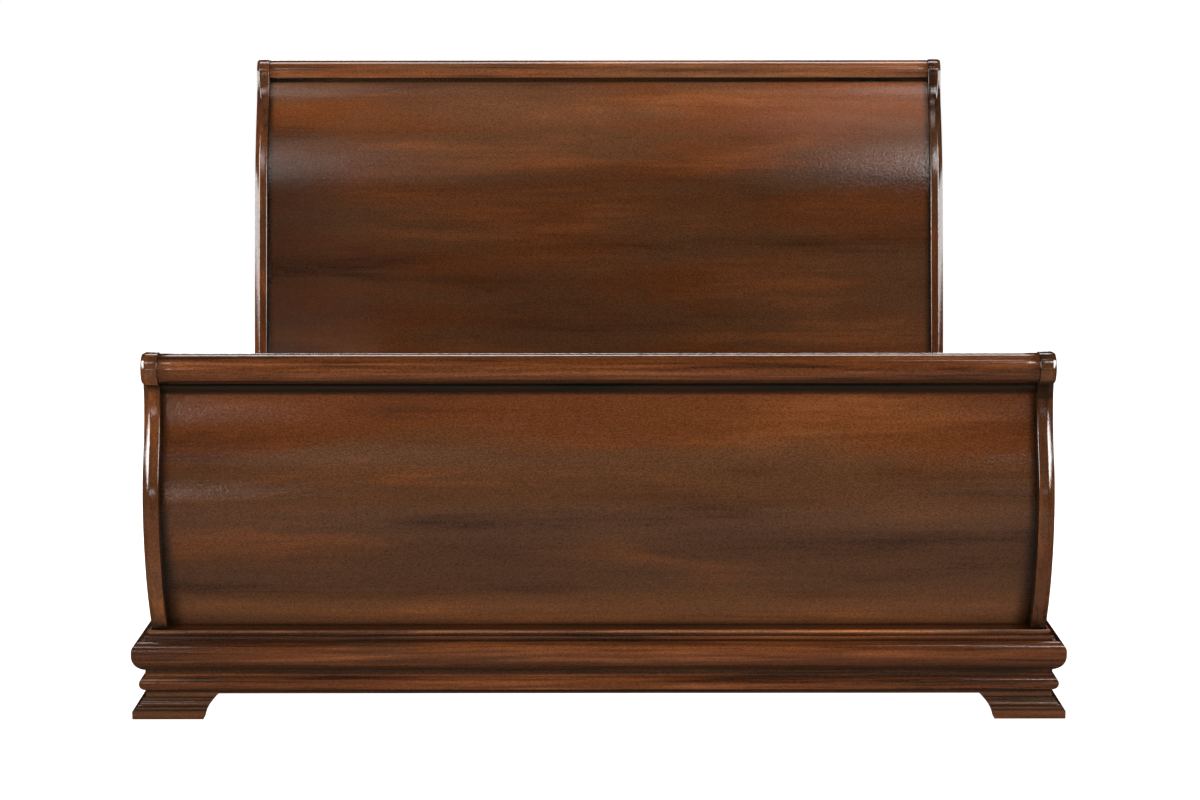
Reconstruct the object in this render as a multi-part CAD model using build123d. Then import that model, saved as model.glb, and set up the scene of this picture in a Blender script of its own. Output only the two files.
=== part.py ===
from build123d import *
from math import asin, degrees
import os

# A king-size sleigh bed in solid wood and veneered boards.
# Frame: X across the bed, Y from the footboard (-) to the headboard (+), Z up from the floor.
# The origin is on the floor, in the middle of the bed's outline. All sizes are in millimetres.

# Overall sizes
WIDTH = 2140.0  # over the base mouldings
LENGTH = 2455.0  # from the swell of the footboard to the back of the headboard's roll
FOOT_TOP = 846.0  # top of the footboard's scrolls
HEAD_TOP = 1432.5  # top of the headboard's scrolls

# Posts
POST_THICK = 37.0
MOULDING_DEPTH = 39.0  # how far the base mouldings stand out from the posts' outer faces
POST_OUT = WIDTH / 2 - MOULDING_DEPTH
POST_IN = POST_OUT - POST_THICK
POST_FOOT_Z = 54.0  # underside of the posts and of the base, on top of the bracket feet

# Footboard curve: its front edge seen from the side
SWELL_REACH = 33.0  # the swell stands this far in front of the base mouldings
BASE_Y = SWELL_REACH - LENGTH / 2  # front plane of the base mouldings
CORE_Y = BASE_Y + MOULDING_DEPTH  # front plane of the wood behind the mouldings
SWELL_Y = BASE_Y - SWELL_REACH
SWELL_Z = 487.0
NECK_Y = BASE_Y + 24.0
NECK_Z = 748.0
LOWER_RADIUS = 485.0
LEDGE_Z = 196.0  # top of the boxed base that the footboard stands on
FOOT_DEPTH = 75.0  # depth of the footboard's posts above the rails
FOOT_BACK_Y = BASE_Y + 150.0  # back edge of these posts, where the side rails meet them
KNEE_Z = 337.0
SILL_BACK_Y = FOOT_BACK_Y + 20.0  # back of the boxed base, between the side rails
SILL_THICK = 22.0
BASE_BOARD = 30.0  # boards under the sill

# Footboard scrolls and roll
FOOT_SCROLL_RADIUS = 37.5
FOOT_SCROLL_Y = BASE_Y + 22.0
FOOT_SCROLL_Z = FOOT_TOP - FOOT_SCROLL_RADIUS
FOOT_ROLL_RADIUS = 34.3
FOOT_ROLL_TAIL_Z = 747.0
TAIL_LIP = 6.0  # how far the roll's tail overlaps the panel in front and behind

# Headboard curve: its front edge seen from the side, from the scroll downwards
HEAD_SCROLL_RADIUS = 38.5
HEAD_SCROLL_Y = LENGTH / 2 - HEAD_SCROLL_RADIUS
HEAD_SCROLL_Z = HEAD_TOP - HEAD_SCROLL_RADIUS
HEAD_LEAN = 9.5  # degrees, along the straight middle of the curve
HEAD_SWEEP = 27.0  # degrees, the steepest lean, just under the roll
HEAD_NECK_RADIUS = 218.0
HEAD_SWEEP_RADIUS = 918.0
HEAD_STRAIGHT = 436.0
HEAD_TOE_RADIUS = 1818.0
HEAD_DEPTH = 80.0
HEAD_ROLL_RADIUS = 32.0
HEAD_ROLL_Z = HEAD_TOP - 3.0 - HEAD_ROLL_RADIUS  # the roll's top is 3 mm below the scrolls'
THROAT_BACK = 10.0  # where the back edge runs into the scroll: behind its middle
THROAT_DROP = 34.0  # and below it
HEAD_RAIL_LOW = 100.0
HEAD_RAIL_THICK = 40.0
HEAD_RAIL_SET = 6.0  # bottom rail behind the posts' front edge

# Panels
PANEL_THICK = 18.0
FOOT_RECESS = 42.0  # from the posts' front edge back to the footboard's panel
HEAD_RECESS = 14.0
HEAD_PANEL_TOP_Z = HEAD_ROLL_Z - 8.0  # inside the roll
HEAD_PANEL_FOOT = 20.0  # depth of the panel in the bottom rail's groove
PANEL_TONGUE = 8.0  # how far the panels enter the posts
GROOVE_SLACK = 0.3
GROOVE_OPEN = 1.0  # grooves are cut this far past the face they open in

# Side rails and mattress support
RAIL_THICK = 28.0
RAIL_LOW = 60.0
RAIL_HIGH = 350.0
LEDGER_HIGH = 230.0
LEDGER_TALL = 40.0
LEDGER_THICK = 25.0
SLAT_COUNT = 13
SLAT_WIDE = 70.0
SLAT_THICK = 20.0
SLAT_PLAY = 3.0  # gap between a slat's end and the side rail
SLAT_MARGIN = 30.0  # from the end slats to the footboard's and headboard's posts
LEDGER_PLAY = 5.0
BEAM_WIDE = 45.0
BEAM_TALL = 70.0
LEG_COUNT = 3
LEG_FOOT_Z = 14.0
LEG_BORE_RADIUS = 5.3
LEG_BORE_DEEP = 50.0
GLIDE_RADIUS = 15.0
GLIDE_TALL = 8.0
GLIDE_ROUND = 2.0
LOCKNUT_RADIUS = 8.0
LOCKNUT_TALL = 5.0
STEM_RADIUS = 5.0
STEM_LONG = 38.0

# Fittings
PLATE_TALL = 150.0
PLATE_WIDE = 20.0
PLATE_THICK = 3.0
PLATE_Z = 225.0
HOOK_PITCH = 80.0
HOOK_DROP = 12.0
HOOK_HALF_TALL = 14.0
HOOK_THICK = 3.0
HOOK_REACH = 16.0
HOOK_THROAT = 8.0  # width of the gap behind the hook
SLOT_WIDE = 5.0
SLOT_HALF_TALL = 16.0
POCKET_WIDE = 6.0
POCKET_HALF_TALL = 18.0
POCKET_REACH = 19.0
SCREW_RADIUS = 2.5
SCREW_HEAD_RADIUS = 4.5
DOWEL_RADIUS = 6.0
DOWEL_LONG = 50.0
DOWEL_RISE = 14.0  # above and below the middle of the roll
SCREW_HEAD_TALL = 3.0
LEDGER_SCREW_LONG = 42.0
SLAT_SCREW_LONG = 38.0
LEDGER_SCREW_MARGIN = 100.0
LEDGER_SCREW_COUNT = 8
SADDLE_REACH = 40.0
SADDLE_EAR = 22.0
SADDLE_DROP = 8.0  # saddle's top edge below the beam's

# Bracket feet
BRACKET_TOE = 163.0  # length along the floor
BRACKET_TOP = 196.0  # length under the base
BRACKET_BLANK = 240.0  # length of moulding that each half is sawn from
BRACKET_CUT = 80.0  # thickness of the sawing outline, more than the moulding's
BRACKET_OUT = 10.0  # where that outline starts, in front of the plinth
BLOCK_INSET = 30.0  # hardwood blocks reach this far inside the posts

SIDES = {"left": -1, "right": 1}
ON_BASE = (Align.CENTER, Align.CENTER, Align.MIN)  # round parts that start at their own plane


def side_plane(x):
    """Plane at x whose first axis runs along the bed and whose second axis is up."""
    return Plane(origin=(x, 0, 0), x_dir=(0, 1, 0), z_dir=(1, 0, 0))


def across(outline, x_low, x_high):
    """Extrude a side-view outline (Y, Z) across the bed from x_low to x_high."""
    return extrude(side_plane(x_low) * outline, x_high - x_low)


def block(x_low, x_high, y_low, y_high, z_low, z_high):
    """Square-edged block between two corners."""
    size = (x_high - x_low, y_high - y_low, z_high - z_low)
    centre = ((x_low + x_high) / 2, (y_low + y_high) / 2, (z_low + z_high) / 2)
    return Pos(*centre) * Box(*size)


def save(shape, node):
    shape.label = node
    export_step(shape, f"parts/{node}.step")


# ---------------------------------------------------------------- curves seen from the side


def foot_curve(back, z_low):
    """Footboard's S from the neck down to z_low, set back square to the front edge.

    Two equal arcs join the neck to the swell, and a larger arc runs back in towards the base.
    """
    reach = NECK_Y - SWELL_Y
    rise = NECK_Z - SWELL_Z
    radius = (reach**2 + rise**2) / (4 * reach)
    turn = degrees(asin(rise / 2 / radius))
    low_turn = degrees(asin((SWELL_Z - z_low) / (LOWER_RADIUS - back)))
    neck = JernArc((NECK_Y + back, NECK_Z), (0, -1), radius + back, -turn)
    shoulder = JernArc(neck @ 1, neck % 1, radius - back, turn)
    lower = JernArc(shoulder @ 1, (0, -1), LOWER_RADIUS - back, low_turn)
    return [neck, shoulder, lower]


def head_curve(back):
    """Headboard's curve from the front of the scroll down to its upright toe."""
    top = (HEAD_SCROLL_Y - HEAD_SCROLL_RADIUS + back, HEAD_SCROLL_Z)
    neck = JernArc(top, (0, -1), HEAD_NECK_RADIUS + back, -HEAD_SWEEP)
    sweep = JernArc(neck @ 1, neck % 1, HEAD_SWEEP_RADIUS - back, HEAD_SWEEP - HEAD_LEAN)
    straight = Line(sweep @ 1, sweep @ 1 + (sweep % 1) * HEAD_STRAIGHT)
    toe = JernArc(straight @ 1, straight % 1, HEAD_TOE_RADIUS - back, HEAD_LEAN)
    return [neck, sweep, straight, toe]


HEAD_FACE_Y = (head_curve(0.0)[-1] @ 1).X  # upright front edge of the headboard's posts
HEAD_TOE_Z = (head_curve(0.0)[-1] @ 1).Y
HEAD_BACK_Y = HEAD_FACE_Y + HEAD_DEPTH
RAIL_LONG = HEAD_FACE_Y - FOOT_BACK_Y


def curved_board(front, back, bottom_z):
    """Closed outline between two side-view curves that run the same way, square at the bottom."""
    edges = front + back
    front_low = front[-1] @ 1
    back_low = back[-1] @ 1
    edges.append(Line(front[0] @ 0, back[0] @ 0))
    edges.append(Polyline(front_low, (front_low.X, bottom_z), (back_low.X, bottom_z), back_low))
    return make_face(edges)


# ---------------------------------------------------------------- footboard


def foot_post_outline():
    """S-shaped plank with a square foot, a knee behind the side rail and a scroll on top."""
    front = foot_curve(0.0, LEDGE_Z)
    back = foot_curve(FOOT_DEPTH, LEDGE_Z)[:2]
    toe = front[-1] @ 1
    knee_high = back[-1] @ 1
    knee_low = Vector(FOOT_BACK_Y, KNEE_Z)
    knee_mid = (knee_high + knee_low) / 2
    crown_radius = NECK_Y + FOOT_DEPTH - FOOT_SCROLL_Y
    crown = JernArc((FOOT_SCROLL_Y, FOOT_TOP), (1, 0), crown_radius, -90)
    edges = front + back
    edges.append(TangentArc(knee_high, knee_mid, tangent=(0, -1)))
    edges.append(TangentArc(knee_low, knee_mid, tangent=(0, 1)))
    edges.append(crown)
    edges.append(Line(crown @ 1, back[0] @ 0))
    edges.append(Polyline(front[0] @ 0, (NECK_Y, FOOT_SCROLL_Z), (FOOT_SCROLL_Y, FOOT_TOP)))
    edges.append(
        Polyline(
            toe,
            (CORE_Y, LEDGE_Z),
            (CORE_Y, POST_FOOT_Z),
            (FOOT_BACK_Y, POST_FOOT_Z),
            (FOOT_BACK_Y, KNEE_Z),
        )
    )
    scroll = Pos(FOOT_SCROLL_Y, FOOT_SCROLL_Z) * Circle(FOOT_SCROLL_RADIUS)
    return make_face(edges) + scroll


def foot_panel_outline(slack=0.0):
    """Bent board between the base and the roll rail, thickened by the slack for its groove."""
    front = foot_curve(FOOT_RECESS - slack, LEDGE_Z - PANEL_TONGUE)
    back = foot_curve(FOOT_RECESS + PANEL_THICK + slack, LEDGE_Z - PANEL_TONGUE)
    tongue_z = FOOT_ROLL_TAIL_Z + PANEL_TONGUE
    top_front = front[0] @ 0
    top_back = back[0] @ 0
    edges = front + back
    edges.append(Polyline(top_front, (top_front.X, tongue_z), (top_back.X, tongue_z), top_back))
    edges.append(Line(front[-1] @ 1, back[-1] @ 1))
    return make_face(edges)


def foot_roll_outline():
    """Round roll with a tail behind it that comes down over the panel's top edge."""
    tail_front = NECK_Y + FOOT_RECESS - TAIL_LIP
    tail_back = NECK_Y + FOOT_RECESS + PANEL_THICK + TAIL_LIP
    roll_top = FOOT_SCROLL_Z + FOOT_ROLL_RADIUS
    crown_radius = tail_back - FOOT_SCROLL_Y
    crown = JernArc((FOOT_SCROLL_Y, roll_top), (1, 0), crown_radius, -90)
    tail = Polyline(
        crown @ 1,
        (tail_back, FOOT_ROLL_TAIL_Z),
        (tail_front, FOOT_ROLL_TAIL_Z),
        (FOOT_SCROLL_Y, FOOT_SCROLL_Z),
        (FOOT_SCROLL_Y, roll_top),
    )
    return make_face([crown, tail]) + Pos(FOOT_SCROLL_Y, FOOT_SCROLL_Z) * Circle(FOOT_ROLL_RADIUS)


def roll_dowels(side, y, z):
    """Two wooden pins between a roll rail and the scroll of one post."""
    pins = []
    for rise in (-DOWEL_RISE, DOWEL_RISE):
        place = Plane(origin=(side * (POST_IN - DOWEL_LONG / 2), y, z + rise), z_dir=(side, 0, 0))
        pins.append(place * Cylinder(DOWEL_RADIUS, DOWEL_LONG, align=ON_BASE))
    return pins


def sill_board():
    """Flat top of the boxed base, which the footboard's panel stands in."""
    return block(-POST_IN, POST_IN, CORE_Y, SILL_BACK_Y, LEDGE_Z - SILL_THICK, LEDGE_Z)


def foot_apron():
    """Upright board behind the front moulding."""
    return block(-POST_IN, POST_IN, CORE_Y, CORE_Y + BASE_BOARD, POST_FOOT_Z, LEDGE_Z - SILL_THICK)


def foot_back_rail():
    """Upright board under the back of the sill, which the centre beam hangs on."""
    return block(-POST_IN, POST_IN, SILL_BACK_Y - BASE_BOARD, SILL_BACK_Y, RAIL_LOW, LEDGE_Z - SILL_THICK)


# ---------------------------------------------------------------- base mouldings


def moulding_profile():
    """Section of the base moulding: depth in from the widest point, and height."""
    back = MOULDING_DEPTH
    bead = ThreePointArc((37.0, 201.0), (33.5, 197.5), (37.0, 194.0))
    fillet_high = Polyline((37.0, 194.0), (37.0, 189.0), (27.0, 188.0), (27.0, 182.0))
    fillet_low = Polyline((27.0, 182.0), (31.0, 181.0), (31.0, 178.0), (22.0, 178.0))
    roll_top = JernArc((22.0, 178.0), (-1, 0), 22.0, 90)
    roll_side = Line(roll_top @ 1, (0.0, 147.0))
    roll_low = TangentArc((0.0, 147.0), (28.0, 109.5), tangent=(0, -1))
    neck = Line((28.0, 109.5), (28.0, 95.0))
    small_roll = ThreePointArc((28.0, 95.0), (14.5, 78.5), (28.0, 62.0))
    foot = Line((28.0, 62.0), (28.0, POST_FOOT_Z))
    wall = Polyline((28.0, POST_FOOT_Z), (back, POST_FOOT_Z), (back, 201.0), (37.0, 201.0))
    upper = [bead, fillet_high, fillet_low, roll_top, roll_side]
    lower = [roll_low, neck, small_roll, foot, wall]
    return make_face(upper + lower)


def bracket_profile():
    """Section of the bracket feet: a plinth under stepped mouldings."""
    cove = ThreePointArc((18.0, 40.0), (15.5, 32.5), (8.0, 30.0))
    steps = Polyline((28.0, POST_FOOT_Z), (28.0, 47.0), (22.0, 46.0), (22.0, 41.0), (18.0, 40.0))
    plinth = Polyline((8.0, 30.0), (8.0, 27.0), (5.0, 26.0), (5.0, 20.0), (0.0, 18.5), (0.0, 0.0))
    back = Polyline((0.0, 0.0), (MOULDING_DEPTH, 0.0), (MOULDING_DEPTH, POST_FOOT_Z), (28.0, POST_FOOT_Z))
    return make_face([cove, steps, plinth, back])


def along_front(profile, x_low, x_high):
    """Carry a section across the front of the base."""
    place = Plane(origin=(x_low, BASE_Y, 0), x_dir=(0, 1, 0), z_dir=(1, 0, 0))
    return extrude(place * profile, x_high - x_low)


def along_side(profile, side, y_low, y_high):
    """Carry a section along one side of the bed."""
    place = Plane(origin=(side * WIDTH / 2, y_low, 0), x_dir=(-side, 0, 0), z_dir=(0, side, 0))
    return extrude(place * profile, side * (y_high - y_low))


def mitre_plane(side):
    """Upright plane through a front corner at 45 degrees, facing the front piece."""
    return Plane(origin=(side * WIDTH / 2, BASE_Y, 0), z_dir=(-side, -1, 0))


def front_moulding():
    run = along_front(moulding_profile(), -WIDTH / 2, WIDTH / 2)
    for side in SIDES.values():
        run = split(run, bisect_by=mitre_plane(side), keep=Keep.TOP)
    return run


def corner_return(side):
    run = along_side(moulding_profile(), side, BASE_Y, FOOT_BACK_Y)
    return split(run, bisect_by=mitre_plane(side), keep=Keep.BOTTOM)


def bracket_face():
    """Outline of a bracket foot seen square on, from its corner: an ogee inner end."""
    toe = (BRACKET_TOE, 3.0)
    waist = (BRACKET_TOE + 13.0, 26.0)
    top = (BRACKET_TOP, POST_FOOT_Z)
    swell = Spline(toe, waist, top, tangents=[(0, 1), (1, 0.9)])
    rest = Polyline(top, (0.0, POST_FOOT_Z), (0.0, 0.0), (BRACKET_TOE, 0.0), toe)
    return make_face([swell, rest])


def bracket_front(side):
    """Front half of a foot, mitred at the corner."""
    corner = side * WIDTH / 2
    ends = sorted((corner, corner - side * BRACKET_BLANK))
    run = along_front(bracket_profile(), *ends)
    place = Plane(origin=(corner, BASE_Y - BRACKET_OUT, 0), x_dir=(-side, 0, 0), z_dir=(0, side, 0))
    shape = extrude(place * bracket_face(), side * BRACKET_CUT)
    return split(run & shape, bisect_by=mitre_plane(side), keep=Keep.TOP)


def bracket_side(side):
    """Side half of a foot, mitred at the corner."""
    run = along_side(bracket_profile(), side, BASE_Y, BASE_Y + BRACKET_BLANK)
    place = Plane(origin=(side * (WIDTH / 2 + BRACKET_OUT), BASE_Y, 0), x_dir=(0, 1, 0), z_dir=(1, 0, 0))
    shape = extrude(place * bracket_face(), -side * BRACKET_CUT)
    return split(run & shape, bisect_by=mitre_plane(side), keep=Keep.BOTTOM)


def head_bracket(side):
    """Foot under a headboard post, running forward from the post's back edge."""
    run = along_side(bracket_profile(), side, HEAD_BACK_Y - BRACKET_BLANK, HEAD_BACK_Y)
    corner = (side * (WIDTH / 2 + BRACKET_OUT), HEAD_BACK_Y, 0)
    place = Plane(origin=corner, x_dir=(0, -1, 0), z_dir=(-1, 0, 0))
    shape = extrude(place * bracket_face(), side * BRACKET_CUT)
    return run & shape


def corner_block(side, y_low, y_high):
    """Hardwood block behind a bracket foot, which carries the post."""
    ends = sorted((side * (POST_IN - BLOCK_INSET), side * POST_OUT))
    return block(ends[0], ends[1], y_low, y_high, 0.0, POST_FOOT_Z)


# ---------------------------------------------------------------- headboard


def head_post_outline():
    """Plank that leans back more and more towards its scroll."""
    front = head_curve(0.0)
    back = head_curve(HEAD_DEPTH)[2:]
    spine_top = back[0] @ 0
    throat = Vector(HEAD_SCROLL_Y + THROAT_BACK, HEAD_SCROLL_Z - THROAT_DROP)
    spine = TangentArc(spine_top, throat, tangent=(front[2] % 1) * -1)
    toe = front[-1] @ 1
    heel = back[-1] @ 1
    edges = front + back + [spine]
    edges.append(Polyline(throat, (HEAD_SCROLL_Y, HEAD_SCROLL_Z), front[0] @ 0))
    edges.append(Polyline(toe, (toe.X, POST_FOOT_Z), (heel.X, POST_FOOT_Z), heel))
    scroll = Pos(HEAD_SCROLL_Y, HEAD_SCROLL_Z) * Circle(HEAD_SCROLL_RADIUS)
    return make_face(edges) + scroll


def head_panel_outline(slack=0.0):
    """Bent board from the bottom rail up into the underside of the roll."""
    front = head_curve(HEAD_RECESS - slack)
    back = head_curve(HEAD_RECESS + PANEL_THICK + slack)
    board = curved_board(front, back, HEAD_TOE_Z - HEAD_PANEL_FOOT)
    square = 4 * HEAD_SCROLL_RADIUS
    top_cut = Pos(HEAD_SCROLL_Y, HEAD_PANEL_TOP_Z + square / 2) * Rectangle(2 * square, square)
    return board - top_cut


def head_bottom_rail():
    """Stout rail between the headboard's posts, with a groove for the panel."""
    front_y = HEAD_FACE_Y + HEAD_RAIL_SET
    return block(-POST_IN, POST_IN, front_y, front_y + HEAD_RAIL_THICK, HEAD_RAIL_LOW, HEAD_TOE_Z)


# ---------------------------------------------------------------- side rails and fittings


def side_rail(side):
    ends = sorted((side * (POST_OUT - RAIL_THICK), side * POST_OUT))
    return block(ends[0], ends[1], FOOT_BACK_Y, HEAD_FACE_Y, RAIL_LOW, RAIL_HIGH)


def ledger(side):
    """Strip screwed inside a side rail, which the slats lie on."""
    wall = POST_OUT - RAIL_THICK
    ends = sorted((side * (wall - LEDGER_THICK), side * wall))
    y_low = SILL_BACK_Y + LEDGER_PLAY
    y_high = HEAD_FACE_Y - LEDGER_PLAY
    return block(ends[0], ends[1], y_low, y_high, LEDGER_HIGH - LEDGER_TALL, LEDGER_HIGH)


def wood_screw(place, length):
    """Countersunk screw whose head lies in the plane it starts from."""
    head = Cone(SCREW_HEAD_RADIUS, SCREW_RADIUS, SCREW_HEAD_TALL, align=ON_BASE)
    shank = Cylinder(SCREW_RADIUS, length, align=ON_BASE)
    return place * (head + shank)


def ledger_screws(side):
    """Screws through a ledger into its rail, heads sunk flush."""
    x_face = side * (POST_OUT - RAIL_THICK - LEDGER_THICK)
    pitch = (RAIL_LONG - 2 * LEDGER_SCREW_MARGIN) / (LEDGER_SCREW_COUNT - 1)
    screws = []
    for number in range(LEDGER_SCREW_COUNT):
        y = FOOT_BACK_Y + LEDGER_SCREW_MARGIN + number * pitch
        place = Plane(origin=(x_face, y, LEDGER_HIGH - LEDGER_TALL / 2), z_dir=(side, 0, 0))
        screws.append(wood_screw(place, LEDGER_SCREW_LONG))
    return screws


def rail_joint(side, y, way):
    """Hook plate in a rail's end and the slotted plate in the post that it drops into.

    y is the joint's plane, and way is the direction from the rail to the post.
    Returns the hook plate, the slotted plate and the wood cut away for it in the post.
    """
    x_mid = side * (POST_OUT - RAIL_THICK / 2)
    x_low = x_mid - PLATE_WIDE / 2
    x_high = x_mid + PLATE_WIDE / 2
    z_low = PLATE_Z - PLATE_TALL / 2
    z_high = PLATE_Z + PLATE_TALL / 2
    rail_side = sorted((y, y - way * PLATE_THICK))
    post_side = sorted((y, y + way * PLATE_THICK))
    hook_reach = sorted((y - way * PLATE_THICK, y + way * HOOK_REACH))
    pocket_reach = sorted((y + way * PLATE_THICK, y + way * POCKET_REACH))
    gap_reach = sorted((y, y + way * (PLATE_THICK + 0.5)))
    hooks = block(x_low, x_high, *rail_side, z_low, z_high)
    strike = block(x_low, x_high, *post_side, z_low, z_high)
    recess = strike
    for rise in (-HOOK_PITCH / 2, HOOK_PITCH / 2):
        z_mid = PLATE_Z + rise
        foot_z = z_mid - HOOK_HALF_TALL
        top_z = z_mid + HOOK_HALF_TALL
        thin = (x_mid - HOOK_THICK / 2, x_mid + HOOK_THICK / 2)
        nose = block(*thin, *hook_reach, foot_z, top_z)
        gap = block(x_mid - HOOK_THROAT / 2, x_mid + HOOK_THROAT / 2, *gap_reach, foot_z, top_z)
        root = block(*thin, *gap_reach, foot_z + HOOK_DROP, top_z)
        hooks = hooks + nose - gap + root
        slot_x = (x_mid - SLOT_WIDE / 2, x_mid + SLOT_WIDE / 2)
        slot_z = (z_mid - SLOT_HALF_TALL, z_mid + SLOT_HALF_TALL)
        slot = block(*slot_x, y - PLATE_WIDE / 2, y + PLATE_WIDE / 2, *slot_z)
        strike = strike - slot
        pocket_x = (x_mid - POCKET_WIDE / 2, x_mid + POCKET_WIDE / 2)
        pocket = block(*pocket_x, *pocket_reach, z_mid - POCKET_HALF_TALL, z_mid + POCKET_HALF_TALL)
        recess = recess + pocket
    return hooks, strike, recess


# ---------------------------------------------------------------- mattress support


def slat(number):
    """One loose board of the mattress support."""
    reach = POST_OUT - RAIL_THICK - SLAT_PLAY
    pitch = (RAIL_LONG - 2 * SLAT_MARGIN - SLAT_WIDE) / (SLAT_COUNT - 1)
    y_low = FOOT_BACK_Y + SLAT_MARGIN + number * pitch
    return block(-reach, reach, y_low, y_low + SLAT_WIDE, LEDGER_HIGH, LEDGER_HIGH + SLAT_THICK)


def slat_screws():
    """Screws that hold every slat down at both ends."""
    x_ledger = POST_OUT - RAIL_THICK - LEDGER_THICK / 2
    screws = []
    for number in range(SLAT_COUNT):
        y = slat(number).center().Y
        for side in SIDES.values():
            place = Plane(origin=(side * x_ledger, y, LEDGER_HIGH + SLAT_THICK), z_dir=(0, 0, -1))
            screws.append(wood_screw(place, SLAT_SCREW_LONG))
    return screws


def centre_beam():
    """Rail under the middle of the slats, from the footboard to the headboard."""
    half = BEAM_WIDE / 2
    y_high = HEAD_FACE_Y + HEAD_RAIL_SET - PLATE_THICK
    return block(-half, half, SILL_BACK_Y + PLATE_THICK, y_high, LEDGER_HIGH - BEAM_TALL, LEDGER_HIGH)


def beam_saddle(y, way):
    """Steel stirrup that holds one end of the centre beam. way points towards the beam's middle."""
    half = BEAM_WIDE / 2 + PLATE_THICK
    z_low = LEDGER_HIGH - BEAM_TALL - PLATE_THICK
    z_high = LEDGER_HIGH - SADDLE_DROP
    reach = sorted((y, y + way * SADDLE_REACH))
    seat = block(-half, half, *reach, z_low, z_high)
    plate_reach = sorted((y, y + way * PLATE_THICK))
    ears = block(-half - SADDLE_EAR, half + SADDLE_EAR, *plate_reach, z_low, z_high)
    inside_reach = sorted((y + way * PLATE_THICK, y + way * 2 * SADDLE_REACH))
    inside = block(-BEAM_WIDE / 2, BEAM_WIDE / 2, *inside_reach, LEDGER_HIGH - BEAM_TALL, LEDGER_HIGH)
    return seat + ears - inside


def leg_y(number):
    """Places of the centre legs, evenly spaced under the beam."""
    return FOOT_BACK_Y + RAIL_LONG * (number + 1) / (LEG_COUNT + 1)


def centre_leg(number):
    """Square leg under the beam, bored from below for its leveller."""
    half = BEAM_WIDE / 2
    y = leg_y(number)
    leg = block(-half, half, y - half, y + half, LEG_FOOT_Z, LEDGER_HIGH - BEAM_TALL)
    bore = Pos(0, y, LEG_FOOT_Z) * Cylinder(LEG_BORE_RADIUS, LEG_BORE_DEEP, align=ON_BASE)
    return leg - bore


def leveller(number):
    """Screwed glide in the foot of a centre leg."""
    y = leg_y(number)
    glide = Pos(0, y, 0) * Cylinder(GLIDE_RADIUS, GLIDE_TALL, align=ON_BASE)
    glide = fillet(glide.edges().sort_by(Axis.Z)[-1], GLIDE_ROUND)
    nut = Pos(0, y, GLIDE_TALL) * extrude(RegularPolygon(LOCKNUT_RADIUS, 6), LOCKNUT_TALL)
    stem = Pos(0, y, GLIDE_TALL) * Cylinder(STEM_RADIUS, STEM_LONG, align=ON_BASE)
    return glide + nut + stem


# ---------------------------------------------------------------- put together and write

os.makedirs("parts", exist_ok=True)

foot_dowels = []
head_dowels = []
hook_plates = []
strike_plates = []
all_ledger_screws = []
feet_blocks = []
screws_in_slats = slat_screws()

for name, side in SIDES.items():
    x_ends = sorted((side * POST_IN, side * POST_OUT))
    foot_post = across(foot_post_outline(), *x_ends)
    head_post = across(head_post_outline(), *x_ends)
    groove_ends = sorted((side * (POST_IN - GROOVE_OPEN), side * (POST_IN + PANEL_TONGUE + GROOVE_SLACK)))
    foot_post = foot_post - across(foot_panel_outline(GROOVE_SLACK), *groove_ends)
    head_post = head_post - across(head_panel_outline(GROOVE_SLACK), *groove_ends)
    rail = side_rail(side)
    foot_joint = rail_joint(side, FOOT_BACK_Y, -1)
    head_joint = rail_joint(side, HEAD_FACE_Y, 1)
    foot_post = foot_post - foot_joint[2]
    head_post = head_post - head_joint[2]
    rail = rail - foot_joint[0] - head_joint[0]
    hook_plates += [foot_joint[0], head_joint[0]]
    strike_plates += [foot_joint[1], head_joint[1]]
    foot_pins = roll_dowels(side, FOOT_SCROLL_Y, FOOT_SCROLL_Z)
    head_pins = roll_dowels(side, HEAD_SCROLL_Y, HEAD_ROLL_Z)
    foot_dowels += foot_pins
    head_dowels += head_pins
    foot_post = foot_post - foot_pins[0] - foot_pins[1]
    head_post = head_post - head_pins[0] - head_pins[1]
    screws = ledger_screws(side)
    all_ledger_screws += screws
    cleat = ledger(side)
    for screw in screws:
        rail = rail - screw
        cleat = cleat - screw
    for screw in screws_in_slats:
        cleat = cleat - screw
    save(foot_post, f"foot_post_{name}")
    save(head_post, f"head_post_{name}")
    save(rail, f"side_rail_{name}")
    save(cleat, f"slat_ledger_{name}")
    save(corner_return(side), f"foot_base_return_{name}")
    save(along_side(moulding_profile(), side, FOOT_BACK_Y, HEAD_FACE_Y), f"rail_moulding_{name}")
    save(along_side(moulding_profile(), side, HEAD_FACE_Y, HEAD_BACK_Y), f"head_base_return_{name}")
    save(bracket_front(side), f"foot_bracket_front_{name}")
    save(bracket_side(side), f"foot_bracket_side_{name}")
    save(head_bracket(side), f"head_bracket_{name}")
    feet_blocks.append(corner_block(side, CORE_Y, FOOT_BACK_Y))
    feet_blocks.append(corner_block(side, HEAD_FACE_Y, HEAD_BACK_Y))

groove_x = POST_IN + GROOVE_OPEN
foot_roll = across(foot_roll_outline(), -POST_IN, POST_IN)
foot_roll = foot_roll - across(foot_panel_outline(GROOVE_SLACK), -groove_x, groove_x)
for pin in foot_dowels:
    foot_roll = foot_roll - pin
head_roll = across(Pos(HEAD_SCROLL_Y, HEAD_ROLL_Z) * Circle(HEAD_ROLL_RADIUS), -POST_IN, POST_IN)
head_roll = head_roll - across(head_panel_outline(GROOVE_SLACK), -groove_x, groove_x)
for pin in head_dowels:
    head_roll = head_roll - pin
sill = sill_board() - across(foot_panel_outline(GROOVE_SLACK), -groove_x, groove_x)
panel_x = POST_IN + PANEL_TONGUE
head_rail = head_bottom_rail() - across(head_panel_outline(GROOVE_SLACK), -groove_x, groove_x)

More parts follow.
